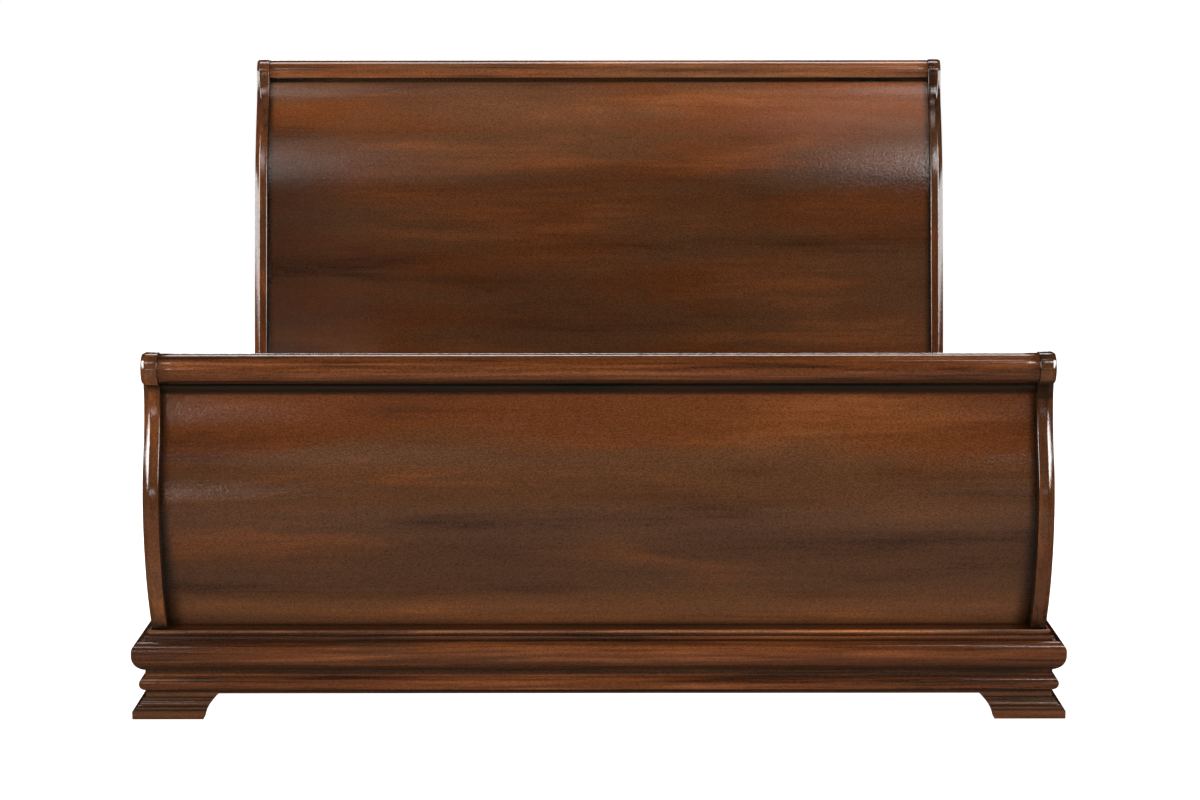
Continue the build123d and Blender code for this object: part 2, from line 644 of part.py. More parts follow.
save(across(foot_panel_outline(), -panel_x, panel_x), "foot_panel")
save(across(head_panel_outline(), -panel_x, panel_x), "head_panel")
save(foot_roll, "foot_roll_rail")
save(head_roll, "head_roll_rail")
save(sill, "foot_sill_board")
save(foot_apron(), "foot_apron_board")
save(foot_back_rail(), "foot_back_rail")
save(front_moulding(), "foot_base_moulding")
save(head_rail, "head_bottom_rail")
save(Compound(children=feet_blocks), "corner_blocks")
save(Compound(children=foot_dowels + head_dowels), "roll_dowels")
save(Compound(children=hook_plates), "rail_hook_plates")
save(Compound(children=strike_plates), "post_strike_plates")
save(Compound(children=all_ledger_screws), "ledger_screws")
save(Compound(children=screws_in_slats), "slat_screws")
for number in range(SLAT_COUNT):
    board = slat(number)
    for screw in screws_in_slats[2 * number : 2 * number + 2]:
        board = board - screw
    save(board, f"slat_{number + 1:02d}")
save(centre_beam(), "centre_beam")
saddles = [beam_saddle(SILL_BACK_Y, 1), beam_saddle(HEAD_FACE_Y + HEAD_RAIL_SET, -1)]
save(Compound(children=saddles), "beam_saddles")
for number in range(LEG_COUNT):
    save(centre_leg(number), f"centre_leg_{number + 1}")
    save(leveller(number), f"leveller_{number + 1}")
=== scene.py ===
import math

import bmesh
import bpy
import numpy as np
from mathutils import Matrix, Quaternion, Vector


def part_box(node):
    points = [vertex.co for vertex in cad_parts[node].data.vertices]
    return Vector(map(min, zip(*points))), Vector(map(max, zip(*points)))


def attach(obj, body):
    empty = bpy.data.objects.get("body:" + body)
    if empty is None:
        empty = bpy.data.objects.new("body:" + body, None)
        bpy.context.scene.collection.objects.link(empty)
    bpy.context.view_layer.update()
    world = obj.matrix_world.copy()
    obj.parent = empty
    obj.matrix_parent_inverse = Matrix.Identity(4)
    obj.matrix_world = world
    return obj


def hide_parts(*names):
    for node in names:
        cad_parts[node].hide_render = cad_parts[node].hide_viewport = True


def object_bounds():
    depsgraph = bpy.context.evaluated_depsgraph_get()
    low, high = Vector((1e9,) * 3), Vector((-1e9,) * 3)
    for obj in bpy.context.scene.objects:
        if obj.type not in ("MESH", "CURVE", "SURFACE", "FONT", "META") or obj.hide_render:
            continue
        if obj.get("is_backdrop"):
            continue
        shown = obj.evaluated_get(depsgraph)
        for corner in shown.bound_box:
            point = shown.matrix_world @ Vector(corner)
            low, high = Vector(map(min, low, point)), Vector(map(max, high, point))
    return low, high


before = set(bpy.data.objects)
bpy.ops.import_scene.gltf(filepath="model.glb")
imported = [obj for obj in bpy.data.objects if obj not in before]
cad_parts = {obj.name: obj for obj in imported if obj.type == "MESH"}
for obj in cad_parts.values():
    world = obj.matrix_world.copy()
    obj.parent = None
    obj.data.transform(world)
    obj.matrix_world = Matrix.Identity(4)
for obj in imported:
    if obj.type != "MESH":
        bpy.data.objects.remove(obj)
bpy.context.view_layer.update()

# ---------------------------------------------------------------- footboard posts
# Two planks of solid mahogany, sawn to an S and ending in a round scroll. Their outer
# arrises are planed to a broad, slightly crowned cant and the inner ones eased, and the
# whole is stained, darkened in its corners with glaze and painted shade, and lacquered
# to a high gloss.

SIDES = (("left", -1), ("right", 1))
post_low, post_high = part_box("foot_post_right")
base_low, base_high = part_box("foot_base_moulding")
post_in = post_low[0]
post_out = post_high[0]
post_underside = post_low[2]
foot_top = post_high[2]
foot_back_y = post_high[1]
base_y = base_low[1]
half_width = base_high[0]
moulding_depth = half_width - post_out

swell_y = post_low[1]
swell_z = 0.487
neck_y = base_y + 0.024
neck_z = 0.748
lower_radius = 0.485
ledge_z = 0.196
knee_z = 0.337
foot_depth = 0.075
foot_scroll_radius = 0.0375
foot_scroll_y = base_y + 0.022
foot_scroll_z = foot_top - foot_scroll_radius


def arc(centre, radius, first, last, count=20):
    """Points on a circle in the side view: centre plus radius times (cos, sin) of even angles in degrees."""
    angle = np.radians(np.linspace(first, last, count))
    return np.stack([centre[0] + radius * np.cos(angle), centre[1] + radius * np.sin(angle)], 1)


def fitted(width, drop):
    """Radius and turn, in degrees, of the arc that moves by width over a drop.

    The radius is (width^2 + drop^2) / (2 width).
    """
    radius = (width**2 + drop**2) / (2 * width)
    return radius, math.degrees(math.asin(drop / radius))


def straight(first, last, count=2):
    """Evenly spaced points from first to last, both included."""
    part = np.linspace(0.0, 1.0, count)[:, None]
    return np.asarray(first) * (1 - part) + np.asarray(last) * part


def joined(*runs):
    """One outline from several runs of points, without repeated points."""
    points = np.vstack(runs)
    ahead = np.roll(points, -1, axis=0)
    return points[np.hypot(*(ahead - points).T) > 1e-6]


def foot_curve(back):
    """Footboard's S from its lower end up to the neck, moved back square to the curve.

    A large arc rises to the swell, then two equal arcs of opposite turn lead up to the neck.
    """
    radius, turn = fitted((neck_y - swell_y) / 2, (neck_z - swell_z) / 2)
    low_radius = lower_radius - back
    low_turn = math.degrees(math.asin((swell_z - ledge_z) / low_radius))
    lower = arc((swell_y + lower_radius, swell_z), low_radius, 180 + low_turn, 180, 36)
    shoulder = arc((swell_y + radius, swell_z), radius - back, 180, 180 - turn)
    neck = arc((neck_y - radius, neck_z), radius + back, -turn, 0)
    return lower, np.vstack([shoulder, neck[1:]])


def foot_post_outline():
    """Side view of a post, clockwise: up the S, round the scroll, and down the back past the knee.

    The scroll is an arc from 273 degrees, just past its lowest point, to its top at 90.
    """
    lower, upper = foot_curve(0.0)
    back = foot_curve(foot_depth)[1][::-1]
    crown_radius = neck_y + foot_depth - foot_scroll_y
    crown = arc((foot_scroll_y, foot_top - crown_radius), crown_radius, 90, 0, 24)
    scroll = arc((foot_scroll_y, foot_scroll_z), foot_scroll_radius, 273, 90, 48)
    knee_y = back[-1][0]
    knee_radius, knee_turn = fitted((foot_back_y - knee_y) / 2, (swell_z - knee_z) / 2)
    knee_top = arc((knee_y + knee_radius, swell_z), knee_radius, 180, 180 + knee_turn, 16)
    knee_low = arc((foot_back_y - knee_radius, knee_z), knee_radius, knee_turn, 0, 16)
    shank = straight((foot_back_y, knee_z), (foot_back_y, post_underside), 12)
    heel_y = base_y + moulding_depth
    front_foot = straight((heel_y, post_underside), (heel_y, ledge_z), 6)
    ledge = straight((heel_y, ledge_z), lower[0], 4)
    return joined(lower, upper, scroll, crown, back, knee_top, knee_low, shank, front_foot, ledge)


def inward(outline):
    """Mitred inward normals of a clockwise outline: (n1 + n2) / (1 + n1.n2) of the two edges' normals."""
    edge = np.roll(outline, -1, axis=0) - outline
    edge /= np.hypot(edge[:, 0], edge[:, 1])[:, None]
    after = np.stack([edge[:, 1], -edge[:, 0]], 1)
    before = np.roll(after, 1, axis=0)
    return (before + after) / (1 + np.sum(before * after, 1))[:, None]


def rounding(width, depth, steps=7):
    """Quarter of an ellipse from the side face to the front edge: how far in from the side, and how deep."""
    angle = np.linspace(0.0, math.pi / 2, steps)
    return width * (1 - np.cos(angle)), depth * (1 - np.sin(angle))


def canted(width, depth, crown=0.0004, ease=0.0014, steps=9):
    """Flat cant from the side face to the front edge, crowned by a parabola and eased at both ends.

    Gives how far in from the side, and how deep, from the side face inwards.
    """
    part = np.linspace(0.0, 1.0, steps)
    rise = crown * 4 * part * (1 - part)
    side_ease = 0.3 * ease
    front_ease = 0.15 * ease
    across = np.concatenate([[0.0], side_ease + (width - side_ease) * part - 0.4 * rise, [width + ease]])
    down = np.concatenate([[depth + ease], depth * (1 - part) - rise + front_ease * part, [0.0]])
    return np.maximum(across, 0.0), np.maximum(down, 0.0)


def plank(outline, x_near, x_far, near_edge, far_edge, share=1.0, middle=2):
    """Outline carried across the bed from x_near to x_far, with rounded arrises.

    Each station is the outline drawn in by the rounding's depth. share scales both roundings point by point.
    Returns stations x points x 3.
    """
    share = np.broadcast_to(np.asarray(share, float), (len(outline),))
    near_across, near_down = near_edge
    far_across, far_down = far_edge
    first = x_near + near_across[-1] * share
    last = x_far - far_across[-1] * share
    between = np.linspace(0.0, 1.0, middle + 2)[1:-1, None]
    x = np.vstack([
        x_near + near_across[:, None] * share,
        first * (1 - between) + last * between,
        x_far - far_across[::-1, None] * share,
    ])
    level = np.zeros(middle)
    down = np.concatenate([near_down, level, far_down[::-1]])[:, None] * share
    flat = outline[None] + inward(outline)[None] * down[..., None]
    return np.concatenate([x[..., None], flat], axis=2)


def gathered(points, corners, reach):
    """Glaze and painted shade in inner corners: the sum of exp(-(distance / reach)^2) over the corners, at
    most 1.
    """
    total = np.zeros(points.shape[:-1])
    for corner in corners:
        away = np.linalg.norm(points - np.asarray(corner), axis=-1)
        total += np.exp(-((away / reach) ** 2))
    return np.clip(total, 0.0, 1.0)


def ramp(value, low, high):
    """Smooth step: 0 at low, 1 at high, with level ends. low may be above high."""
    part = np.clip((value - low) / (high - low), 0.0, 1.0)
    return part * part * (3 - 2 * part)


def closed_piece(name, node, points, material, glaze_and_shade, ladder=False, tone_and_painted_light=1.0, brown=0.0):
    """Mesh of a closed run: stations x points x 3, a wall of quads between stations, and two end faces.

    A ladder end joins each point to its partner across the section, for ends that aren't flat. Every
    lacquered piece is fast to the bedstead, takes its node's place, and holds the marks its finish reads.
    """
    stations, around = points.shape[:2]
    index = np.arange(stations * around).reshape(stations, around)
    ahead = np.roll(index, -1, axis=1)
    wall = np.stack([index[:-1], ahead[:-1], ahead[1:], index[1:]], -1).reshape(-1, 4)
    ends = [index[0].tolist(), index[-1].tolist()]
    if ladder:
        rung = np.arange(around // 2 - 1)
        partner = around - 1 - rung
        order = np.stack([rung, rung + 1, partner - 1, partner], 1)
        ends = index[[0, -1]][:, order].reshape(-1, 4).tolist()
    faces = wall.tolist() + ends
    mesh = bpy.data.meshes.new(name)
    mesh.from_pydata(points.reshape(-1, 3), [], faces)
    smooth = np.ones(len(faces), bool)
    smooth[-len(ends):] = False
    mesh.polygons.foreach_set("use_smooth", smooth)
    solid = bmesh.new()
    solid.from_mesh(mesh)
    bmesh.ops.recalc_face_normals(solid, faces=solid.faces[:])
    solid.to_mesh(mesh)
    solid.free()
    mesh.set_sharp_from_angle(angle=math.radians(34))
    for mark, value in (("glaze_and_shade", glaze_and_shade), ("tone_and_painted_light", tone_and_painted_light), ("brown", brown)):
        layer = mesh.attributes.new(mark, "FLOAT", "POINT")
        spread_out = np.broadcast_to(value, (stations, around)).reshape(-1)
        layer.data.foreach_set("value", spread_out.astype(np.float32))
    mesh.materials.append(material)
    piece = bpy.data.objects.new(name, mesh)
    bpy.context.scene.collection.objects.link(piece)
    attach(piece, "bedstead")
    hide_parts(node)


def mixed(tree, blend, factor, first, second):
    """Colour Mix node. Each of factor, first and second is a socket or a plain value."""
    node = tree.nodes.new("ShaderNodeMix")
    node.data_type = "RGBA"
    node.blend_type = blend
    for socket, value in zip((node.inputs[0], node.inputs[6], node.inputs[7]), (factor, first, second)):
        if isinstance(value, bpy.types.NodeSocket):
            tree.links.new(value, socket)
        elif isinstance(value, tuple):
            socket.default_value = (*value, 1.0)
        else:
            socket.default_value = value
    return node.outputs[2]


def reckoned(tree, operation, *values):
    """Math node. Each value is a socket or a number."""
    node = tree.nodes.new("ShaderNodeMath")
    node.operation = operation
    for socket, value in zip(node.inputs, values):
        if isinstance(value, bpy.types.NodeSocket):
            tree.links.new(value, socket)
        else:
            socket.default_value = value
    return node.outputs[0]


def spread(tree, value, low, high, bottom=0.0, top=1.0):
    """Map Range node, smooth and clamped: low to high becomes bottom to top."""
    node = tree.nodes.new("ShaderNodeMapRange")
    node.interpolation_type = "SMOOTHSTEP"
    tree.links.new(value, node.inputs["Value"])
    node.inputs["From Min"].default_value = low
    node.inputs["From Max"].default_value = high
    node.inputs["To Min"].default_value = bottom
    node.inputs["To Max"].default_value = top
    return node.outputs["Result"]


def figure(tree, along, seed, stretch, scale, detail, roughness, warp=0.0):
    """Noise drawn out along the grain: the piece's own coordinates, squeezed across the grain by stretch."""
    place = tree.nodes.new("ShaderNodeTexCoord")
    turn = tree.nodes.new("ShaderNodeMapping")
    turn.inputs["Location"].default_value = seed
    turn.inputs["Scale"].default_value = tuple(1.0 if axis == along else stretch for axis in "XYZ")
    noise = tree.nodes.new("ShaderNodeTexNoise")
    noise.inputs["Scale"].default_value = scale
    noise.inputs["Detail"].default_value = detail
    noise.inputs["Roughness"].default_value = roughness
    noise.inputs["Distortion"].default_value = warp
    tree.links.new(place.outputs["Object"], turn.inputs["Vector"])
    tree.links.new(turn.outputs["Vector"], noise.inputs["Vector"])
    return noise.outputs["Fac"]


def mark_on(tree, name):
    """The value that a piece's mesh holds under this name."""
    node = tree.nodes.new("ShaderNodeAttribute")
    node.attribute_name = name
    return node.outputs["Fac"]


MAHOGANY_DARK = (0.034, 0.0130, 0.0062)
MAHOGANY_RED = (0.086, 0.0260, 0.0084)
MAHOGANY_BROWN = (0.075, 0.0310, 0.0135)
MAHOGANY_LIGHT = (0.155, 0.0500, 0.0160)
PORE_STAIN = (0.45, 0.38, 0.34)
# Near-black colour of the glaze. It is also used as painted shade in corners, recesses and under the rolls.
GLAZE_AND_SHADE = (0.0052, 0.0046, 0.0027)


def lacquered(name, along, seed, light=1.0, cloud_width=7.0, streaks=0.5, clouds=1.0, film=1.0):
    """Mahogany, stained and glazed, under clear gloss lacquer.

    Long soft clouds move between a dark, a red, a brown and a light tone. Fine streaks, flecks and short
    pores run along the grain. The stain follows the piece's tone and brown marks. The tone mark also
    carries painted light and shade, and light scales the whole colour, which paints one of a pair lit more
    than the other. A near-black coat follows the glaze mark, which is glaze together with painted shade in
    corners, recesses and under the rolls. The lacquer is a clear coat with the ripple of a sprayed film,
    as deep as film says.
    """
    material = bpy.data.materials.new(name)
    material.use_nodes = True
    tree = material.node_tree
    surface = tree.nodes["Principled BSDF"]
    patch_seed = (seed[1] + 3.0, seed[2], seed[0])
    streak_seed = (seed[2], seed[0] + 5.0, seed[1])
    cloud = figure(tree, along, seed, stretch=cloud_width, scale=1.25, detail=4.0, roughness=0.55, warp=0.35)
    patch = figure(tree, along, patch_seed, stretch=5.0, scale=1.1, detail=3.0, roughness=0.55, warp=0.3)
    streak = figure(tree, along, streak_seed, stretch=34.0, scale=3.2, detail=5.0, roughness=0.6, warp=0.3)
    fleck = figure(tree, along, seed, stretch=2.5, scale=210.0, detail=2.0, roughness=0.7)
    pore = figure(tree, along, seed, stretch=9.0, scale=115.0, detail=2.0, roughness=0.6)
    drift = reckoned(tree, "MULTIPLY", reckoned(tree, "SUBTRACT", cloud, 0.5), clouds)
    stripe = reckoned(tree, "MULTIPLY", reckoned(tree, "SUBTRACT", streak, 0.5), streaks)
    depth = reckoned(tree, "ADD", reckoned(tree, "ADD", drift, stripe), 0.5)
    browner = reckoned(tree, "ADD", patch, mark_on(tree, "brown"))
    middle = mixed(tree, "MIX", spread(tree, browner, 0.40, 0.60), MAHOGANY_RED, MAHOGANY_BROWN)
    wood = mixed(tree, "MIX", spread(tree, depth, 0.30, 0.50), MAHOGANY_DARK, middle)
    wood = mixed(tree, "MIX", spread(tree, depth, 0.50, 0.72), wood, MAHOGANY_LIGHT)
    wood = mixed(tree, "MULTIPLY", spread(tree, pore, 0.36, 0.50, bottom=0.50, top=0.0), wood, PORE_STAIN)
    wood = mixed(tree, "MULTIPLY", 1.0, wood, spread(tree, fleck, 0.32, 0.68, bottom=0.66, top=1.34))
    # Painted light and shade: the tone mark and light brighten or darken the stain by place and by piece.
    wood = mixed(tree, "MULTIPLY", 1.0, wood, reckoned(tree, "MULTIPLY", mark_on(tree, "tone_and_painted_light"), light))
    # Glaze and painted shade: the glaze mark lays the near-black coat over the wood.
    uneven = spread(tree, cloud, 0.25, 0.75, bottom=0.75, top=1.1)
    cover = reckoned(tree, "MINIMUM", reckoned(tree, "MULTIPLY", mark_on(tree, "glaze_and_shade"), uneven), 1.0)
    tree.links.new(mixed(tree, "MIX", cover, wood, GLAZE_AND_SHADE), surface.inputs["Base Color"])
    tree.links.new(spread(tree, streak, 0.3, 0.7, bottom=0.50, top=0.36), surface.inputs["Roughness"])
    ripple = figure(tree, along, (0.0, 2.0, 4.0), stretch=1.3, scale=120.0, detail=3.0, roughness=0.7)
    swell = figure(tree, along, (4.0, 2.0, 0.0), stretch=1.3, scale=22.0, detail=1.0, roughness=0.5)
    sunk = reckoned(tree, "MULTIPLY", pore, 0.3)
    height = reckoned(tree, "ADD", sunk, reckoned(tree, "MULTIPLY", ripple, film))
    height = reckoned(tree, "ADD", height, reckoned(tree, "MULTIPLY", swell, 0.5))
    bump = tree.nodes.new("ShaderNodeBump")
    bump.inputs["Strength"].default_value = 0.40
    bump.inputs["Distance"].default_value = 0.0006
    tree.links.new(height, bump.inputs["Height"])
    tree.links.new(bump.outputs["Normal"], surface.inputs["Normal"])
    tree.links.new(bump.outputs["Normal"], surface.inputs["Coat Normal"])
    surface.inputs["Specular IOR Level"].default_value = 0.0
    surface.inputs["Coat Weight"].default_value = 1.0
    surface.inputs["Coat Roughness"].default_value = 0.05
    surface.inputs["Coat IOR"].default_value = 1.5
    return material


wide_cant = canted(width=0.0145, depth=0.0080)
eased_edge = rounding(width=0.003, depth=0.003)
# How much of the arrises' full width is left round the scroll, and below the ledge.
SCROLL_SHARE = 0.55
FOOT_SHARE = 0.03
# Reaches of the glaze and painted shade: round the throat, on the inner face by the panel, and above the
# ledge.
THROAT_GLAZE_AND_SHADE_REACH = 0.009
JOINT_GLAZE_AND_SHADE_WIDTH = 0.0008
LEDGE_GLAZE_AND_SHADE_HEIGHT = 0.022
scroll_reach = foot_scroll_radius + 0.03
scroll_low = neck_z + 0.015
neck_dark_low = 0.737
neck_dark_high = 0.778
post_outline = foot_post_outline()
outline_z = post_outline[:, 1]
off_middle = np.linalg.norm(post_outline - (foot_scroll_y, foot_scroll_z), axis=1)
on_scroll = (off_middle < scroll_reach) & (outline_z > scroll_low)
cant_share = np.where(on_scroll, SCROLL_SHARE, 1.0)
cant_share = np.where(outline_z < ledge_z + 0.002, FOOT_SHARE, cant_share)
throat = (neck_y - 0.002, foot_scroll_z - foot_scroll_radius)
for side, hand in SIDES:
    body = plank(post_outline, post_in, post_out, eased_edge, wide_cant, cant_share)
    x = body[..., 0]
    y = body[..., 1]
    z = body[..., 2]
    # Glaze and painted shade in the throat under the scroll, above the ledge and on the inner face by the
    # panel.
    glaze_and_shade = gathered(body[..., 1:], [throat], THROAT_GLAZE_AND_SHADE_REACH)
    glaze_and_shade = np.maximum(glaze_and_shade, ramp(z, ledge_z + LEDGE_GLAZE_AND_SHADE_HEIGHT, ledge_z))
    glaze_and_shade = np.maximum(glaze_and_shade, 0.75 * ramp(x, post_in + JOINT_GLAZE_AND_SHADE_WIDTH, post_in))
    # A darker band on the neck under the scroll: strong on the right post, faint on the left.
    neck_dark = ramp(z, neck_dark_low - 0.002, neck_dark_low) * ramp(y, neck_y + 0.03, neck_y + 0.02)
    neck_dark = neck_dark * ramp(z, neck_dark_high + 0.007, neck_dark_high)
    neck_dark_strength = 0.75 if side == "right" else 0.12
    glaze_and_shade = np.maximum(glaze_and_shade, neck_dark_strength * neck_dark)
    body[..., 0] *= hand
    # Painted light: the left post's colour is painted brighter than the right's.
    light = 0.92 - 0.08 * hand
    grain = lacquered(f"foot_post_mahogany_{side}", "Z", (0.3 * hand, 1.7, 0.4), light, cloud_width=9.0)
    closed_piece(f"foot_post_{side}_scrolled", f"foot_post_{side}", body, grain, glaze_and_shade)

# ---------------------------------------------------------------- footboard panel
# A bent board of several glued layers with a mahogany face, its grain across the bed.
# It stands in grooves in the posts, the ledge and the roll rail, 42 mm behind the
# posts' front edges, and glaze and a painted shadow darken it where it meets them.

PANEL_THICK = 0.018
TONGUE = 0.008
EDGE_ROWS = 26
INNER_ROWS = 40
foot_recess = 0.042
panel_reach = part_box("foot_panel")[1][0]
tail_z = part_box("foot_roll_rail")[0][2]


def bent_board(front, back):
    """Clockwise outline of a bent board: up its front and down its back, with equal counts."""
    return joined(front, back[::-1])


def across_stations(reach, fine=0.16):
    """Stations from -reach to reach, close together near both ends where the glaze fades."""
    edge = reach - fine * np.linspace(0.0, 1.0, EDGE_ROWS) ** 1.5
    inner = np.linspace(-reach + fine, reach - fine, INNER_ROWS)[1:-1]
    return np.concatenate([-edge, inner, edge[::-1]])


def spanning(outline, stations):
    """Outline (side view) repeated at every station across the bed."""
    shape = (len(stations), len(outline))
    x = np.broadcast_to(stations[:, None, None], (*shape, 1))
    return np.concatenate([x, np.broadcast_to(outline[None], (*shape, 2))], axis=2)


def foot_board(back):
    """One face of the footboard's panel, from just under the ledge to just inside the roll's tail."""
    lower, upper = foot_curve(back)
    tongue = straight(upper[-1], (upper[-1][0], tail_z + TONGUE), 4)[1:]
    return np.vstack([lower, upper[1:], tongue])


def banded(value, bands):
    """Sum over the bands of share times a smooth step of the value from low to high."""
    return sum(share * ramp(value, low, high) for share, low, high in bands)


# Painted light in the stain's tone by height: lighter high up and much lighter towards the ledge, a little
# darker at the neck and low down.
foot_stain_and_light_bands = [(0.28, 0.53, 0.62), (1.2, 0.31, ledge_z), (-0.08, 0.36, 0.32), (-0.10, 0.62, 0.67)]
foot_brown_bands = [(0.30, 0.58, 0.50), (-0.15, 0.58, 0.64)]
dark_band_z = 0.39
dark_band_reach = 0.08
corner_across = (0.60, 1.0)
corner_up = (0.58, 0.68)
foot_panel_outline = bent_board(foot_board(foot_recess), foot_board(foot_recess + PANEL_THICK))
foot_panel = spanning(foot_panel_outline, across_stations(panel_reach))
x = foot_panel[..., 0]
z = foot_panel[..., 2]
# Glaze and a painted shadow of the posts beside them, 10 mm wide high up and 42 mm wide at the ledge.
glaze_and_shadow_width = 0.010 + 0.032 * ramp(z, 0.60, ledge_z)
shade = 0.90 * np.clip((np.abs(x) - post_in + glaze_and_shadow_width) / glaze_and_shadow_width, 0.0, 1.0) ** 1.2
# Painted shadow under the roll's tail, and painted shade along the panel's foot at the ledge.
shade = np.maximum(shade, ramp(z, tail_z - 0.007, tail_z + 0.001))
shade = np.maximum(shade, 0.6 * ramp(z, ledge_z + 0.003, ledge_z + 0.0005))
# Painted shade: a darker band low on the panel and a darker upper right corner; the tone is also painted a
# little lighter towards the right.
dark_band = 0.34 * np.exp(-(((z - dark_band_z) / dark_band_reach) ** 2))
dark_corner = 0.30 * ramp(x, *corner_across) * ramp(z, *corner_up)
closed_piece(
    "foot_panel_bent",
    "foot_panel",
    foot_panel,
    lacquered("foot_panel_mahogany", "X", (0.0, 0.0, 0.0), streaks=0.15, clouds=0.65, film=2.6),
    shade,
    tone_and_painted_light=1.0 + banded(z, foot_stain_and_light_bands) - dark_band - dark_corner + 0.05 * x,
    brown=banded(z, foot_brown_bands),
)

# ---------------------------------------------------------------- footboard roll rail
# A turned and planed mahogany rail, round in front, whose tail at the back comes down
# over the panel. It is dowelled between the two scrolls, a little smaller than they are,
# so that a fine dark line shows at each joint.

foot_roll_radius = 0.0343
cove_radius = 0.030
TAIL_COVER = 0.006
tail_front_y = neck_y + foot_recess - TAIL_COVER
tail_back_y = neck_y + foot_recess + PANEL_THICK + TAIL_COVER
roll_edge = rounding(width=0.0012, depth=0.0012, steps=4)
JOINT_SHADE_WIDTH = 0.003


def foot_roll_outline():
    """Clockwise side view: under the tail, round the front of the roll, over the crown and down the back.

    The cove is an arc of 65 degrees from the tail's front edge, and the roll one from 310 degrees to its top.
    """
    crown_radius = tail_back_y - foot_scroll_y
    crown_z = foot_scroll_z + foot_roll_radius
    cove = arc((0.0, 0.0), cove_radius, 265, 200, 10)
    cove = cove + ((tail_front_y, tail_z) - cove[0])
    roll = arc((foot_scroll_y, foot_scroll_z), foot_roll_radius, 310, 90, 56)
    crown = arc((foot_scroll_y, crown_z - crown_radius), crown_radius, 90, 0, 24)
    foot = straight((tail_back_y, tail_z), (tail_front_y, tail_z), 3)
    return joined(cove, roll, crown, foot)


foot_roll = plank(foot_roll_outline(), -post_in, post_in, roll_edge, roll_edge, middle=60)
# Painted shade: everything below the roll's lower front, tail included, is laid dark, and the tone falls off
# towards the bottom.
fall = foot_scroll_z - foot_roll[..., 2]
joint_shade = 0.7 * ramp(np.abs(foot_roll[..., 0]), post_in - JOINT_SHADE_WIDTH, post_in)
closed_piece(
    "foot_roll_turned",
    "foot_roll_rail",
    foot_roll,
    lacquered("foot_roll_mahogany", "X", (2.0, 0.7, 1.1), light=1.05, cloud_width=16.0, streaks=0.9),
    np.maximum(ramp(fall, 0.017, 0.031), joint_shade),
    tone_and_painted_light=1.12 - 0.38 * ramp(fall, -0.012, 0.022),
    brown=-0.15,
)

# ---------------------------------------------------------------- ledge of the footboard
# The flat top of the boxed base: a planed mahogany board between the posts, grooved for
# the panel. Only its front strip shows, between the bead of the moulding and the panel.


def eased_section(low, high, radius, steps=5):
    """Clockwise rectangle between two corners, with each corner rounded by a quarter circle."""
    left, bottom = low[0] + radius, low[1] + radius
    right, top = high[0] - radius, high[1] - radius
    return joined(
        arc((left, top), radius, 180, 90, steps),
        arc((right, top), radius, 90, 0, steps),
        arc((right, bottom), radius, 0, -90, steps),
        arc((left, bottom), radius, -90, -180, steps),
    )


sill_low, sill_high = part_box("foot_sill_board")
sill_section = eased_section(sill_low[1:], sill_high[1:], radius=0.001)
sill = spanning(sill_section, across_stations(sill_high[0]))
sill_wood = lacquered("sill_mahogany", "X", (4.0, 1.0, 2.0), light=0.8, cloud_width=9.0)
closed_piece("foot_sill_planed", "foot_sill_board", sill, sill_wood, glaze_and_shade=0.1)

# ---------------------------------------------------------------- base mouldings
# Run from solid mahogany: a bead, two fillets, a full roll over a small one. The front
# length is mitred to a short return at each corner. The same moulding is glued along the
# side rails, and ends square behind the headboard's posts.

MITRE_GAP = 0.0003
MITRE_ROWS_REACH = 0.06
CORNER_GLAZE_AND_SHADE_REACH = 0.0028


def moulding_front():
    """Front line of the moulding's section, from its top edge down: depth from the widest point, and height.

    A bead, a step, two fillets, the large roll in two arcs, a flat, the small roll and the bottom edge.
    """
    large_radius, large_turn = fitted(width=0.028, drop=0.0375)
    small_radius, small_turn = fitted(width=0.0135, drop=0.0165)
    return joined(
        straight((0.0385, 0.201), (0.037, 0.201)),
        arc((0.037, 0.1975), 0.0035, 90, 270, 12),
        straight((0.037, 0.194), (0.037, 0.189), 4),
        straight((0.037, 0.189), (0.028, 0.1884), 4),
        arc((0.028, 0.1872), 0.0012, 90, 180, 5),
        straight((0.0268, 0.1872), (0.027, 0.182), 3),
        straight((0.031, 0.181), (0.031, 0.178), 3),
        straight((0.031, 0.178), (0.022, 0.178), 4),
        arc((0.022, 0.156), 0.022, 90, 180, 18),
        straight((0.0, 0.156), (0.0, 0.147), 3),
        arc((large_radius, 0.147), large_radius, 180, 180 + large_turn, 26),
        straight((0.028, 0.1095), (0.028, 0.095), 6),
        arc((0.0145 + small_radius, 0.0785), small_radius, 180 - small_turn, 180 + small_turn, 24),
        straight((0.028, 0.062), (0.028, post_underside), 4),
    )


def run_section(front, back):
    """Closed section from a front line and the flat back behind it, point for point."""
    behind = np.stack([np.full(len(front), back), front[:, 1]], 1)
    return np.vstack([front, behind[::-1]])


def side_run(profile, hand, y_low, y_high, mitred, count=30):
    """Section carried along one side of the bed. A mitred end starts further back the deeper a point lies."""
    depth = profile[:, 0]
    start = y_low + (depth + MITRE_GAP if mitred else 0.0 * depth)
    part = np.linspace(0.0, 1.0, count)[:, None]
    y = start * (1 - part) + y_high * part
    x = np.broadcast_to(hand * (half_width - depth), y.shape)
    z = np.broadcast_to(profile[:, 1], y.shape)
    return np.stack([x, y, z], -1)


def front_run(profile):
    """Section carried across the front from mitre to mitre, shorter the deeper a point lies."""
    part = across_stations(1.0, MITRE_ROWS_REACH)[:, None]
    x = part * (half_width - profile[:, 0] - MITRE_GAP)
    y = np.broadcast_to(base_y + profile[:, 0], x.shape)
    z = np.broadcast_to(profile[:, 1], x.shape)
    return np.stack([x, y, z], -1)


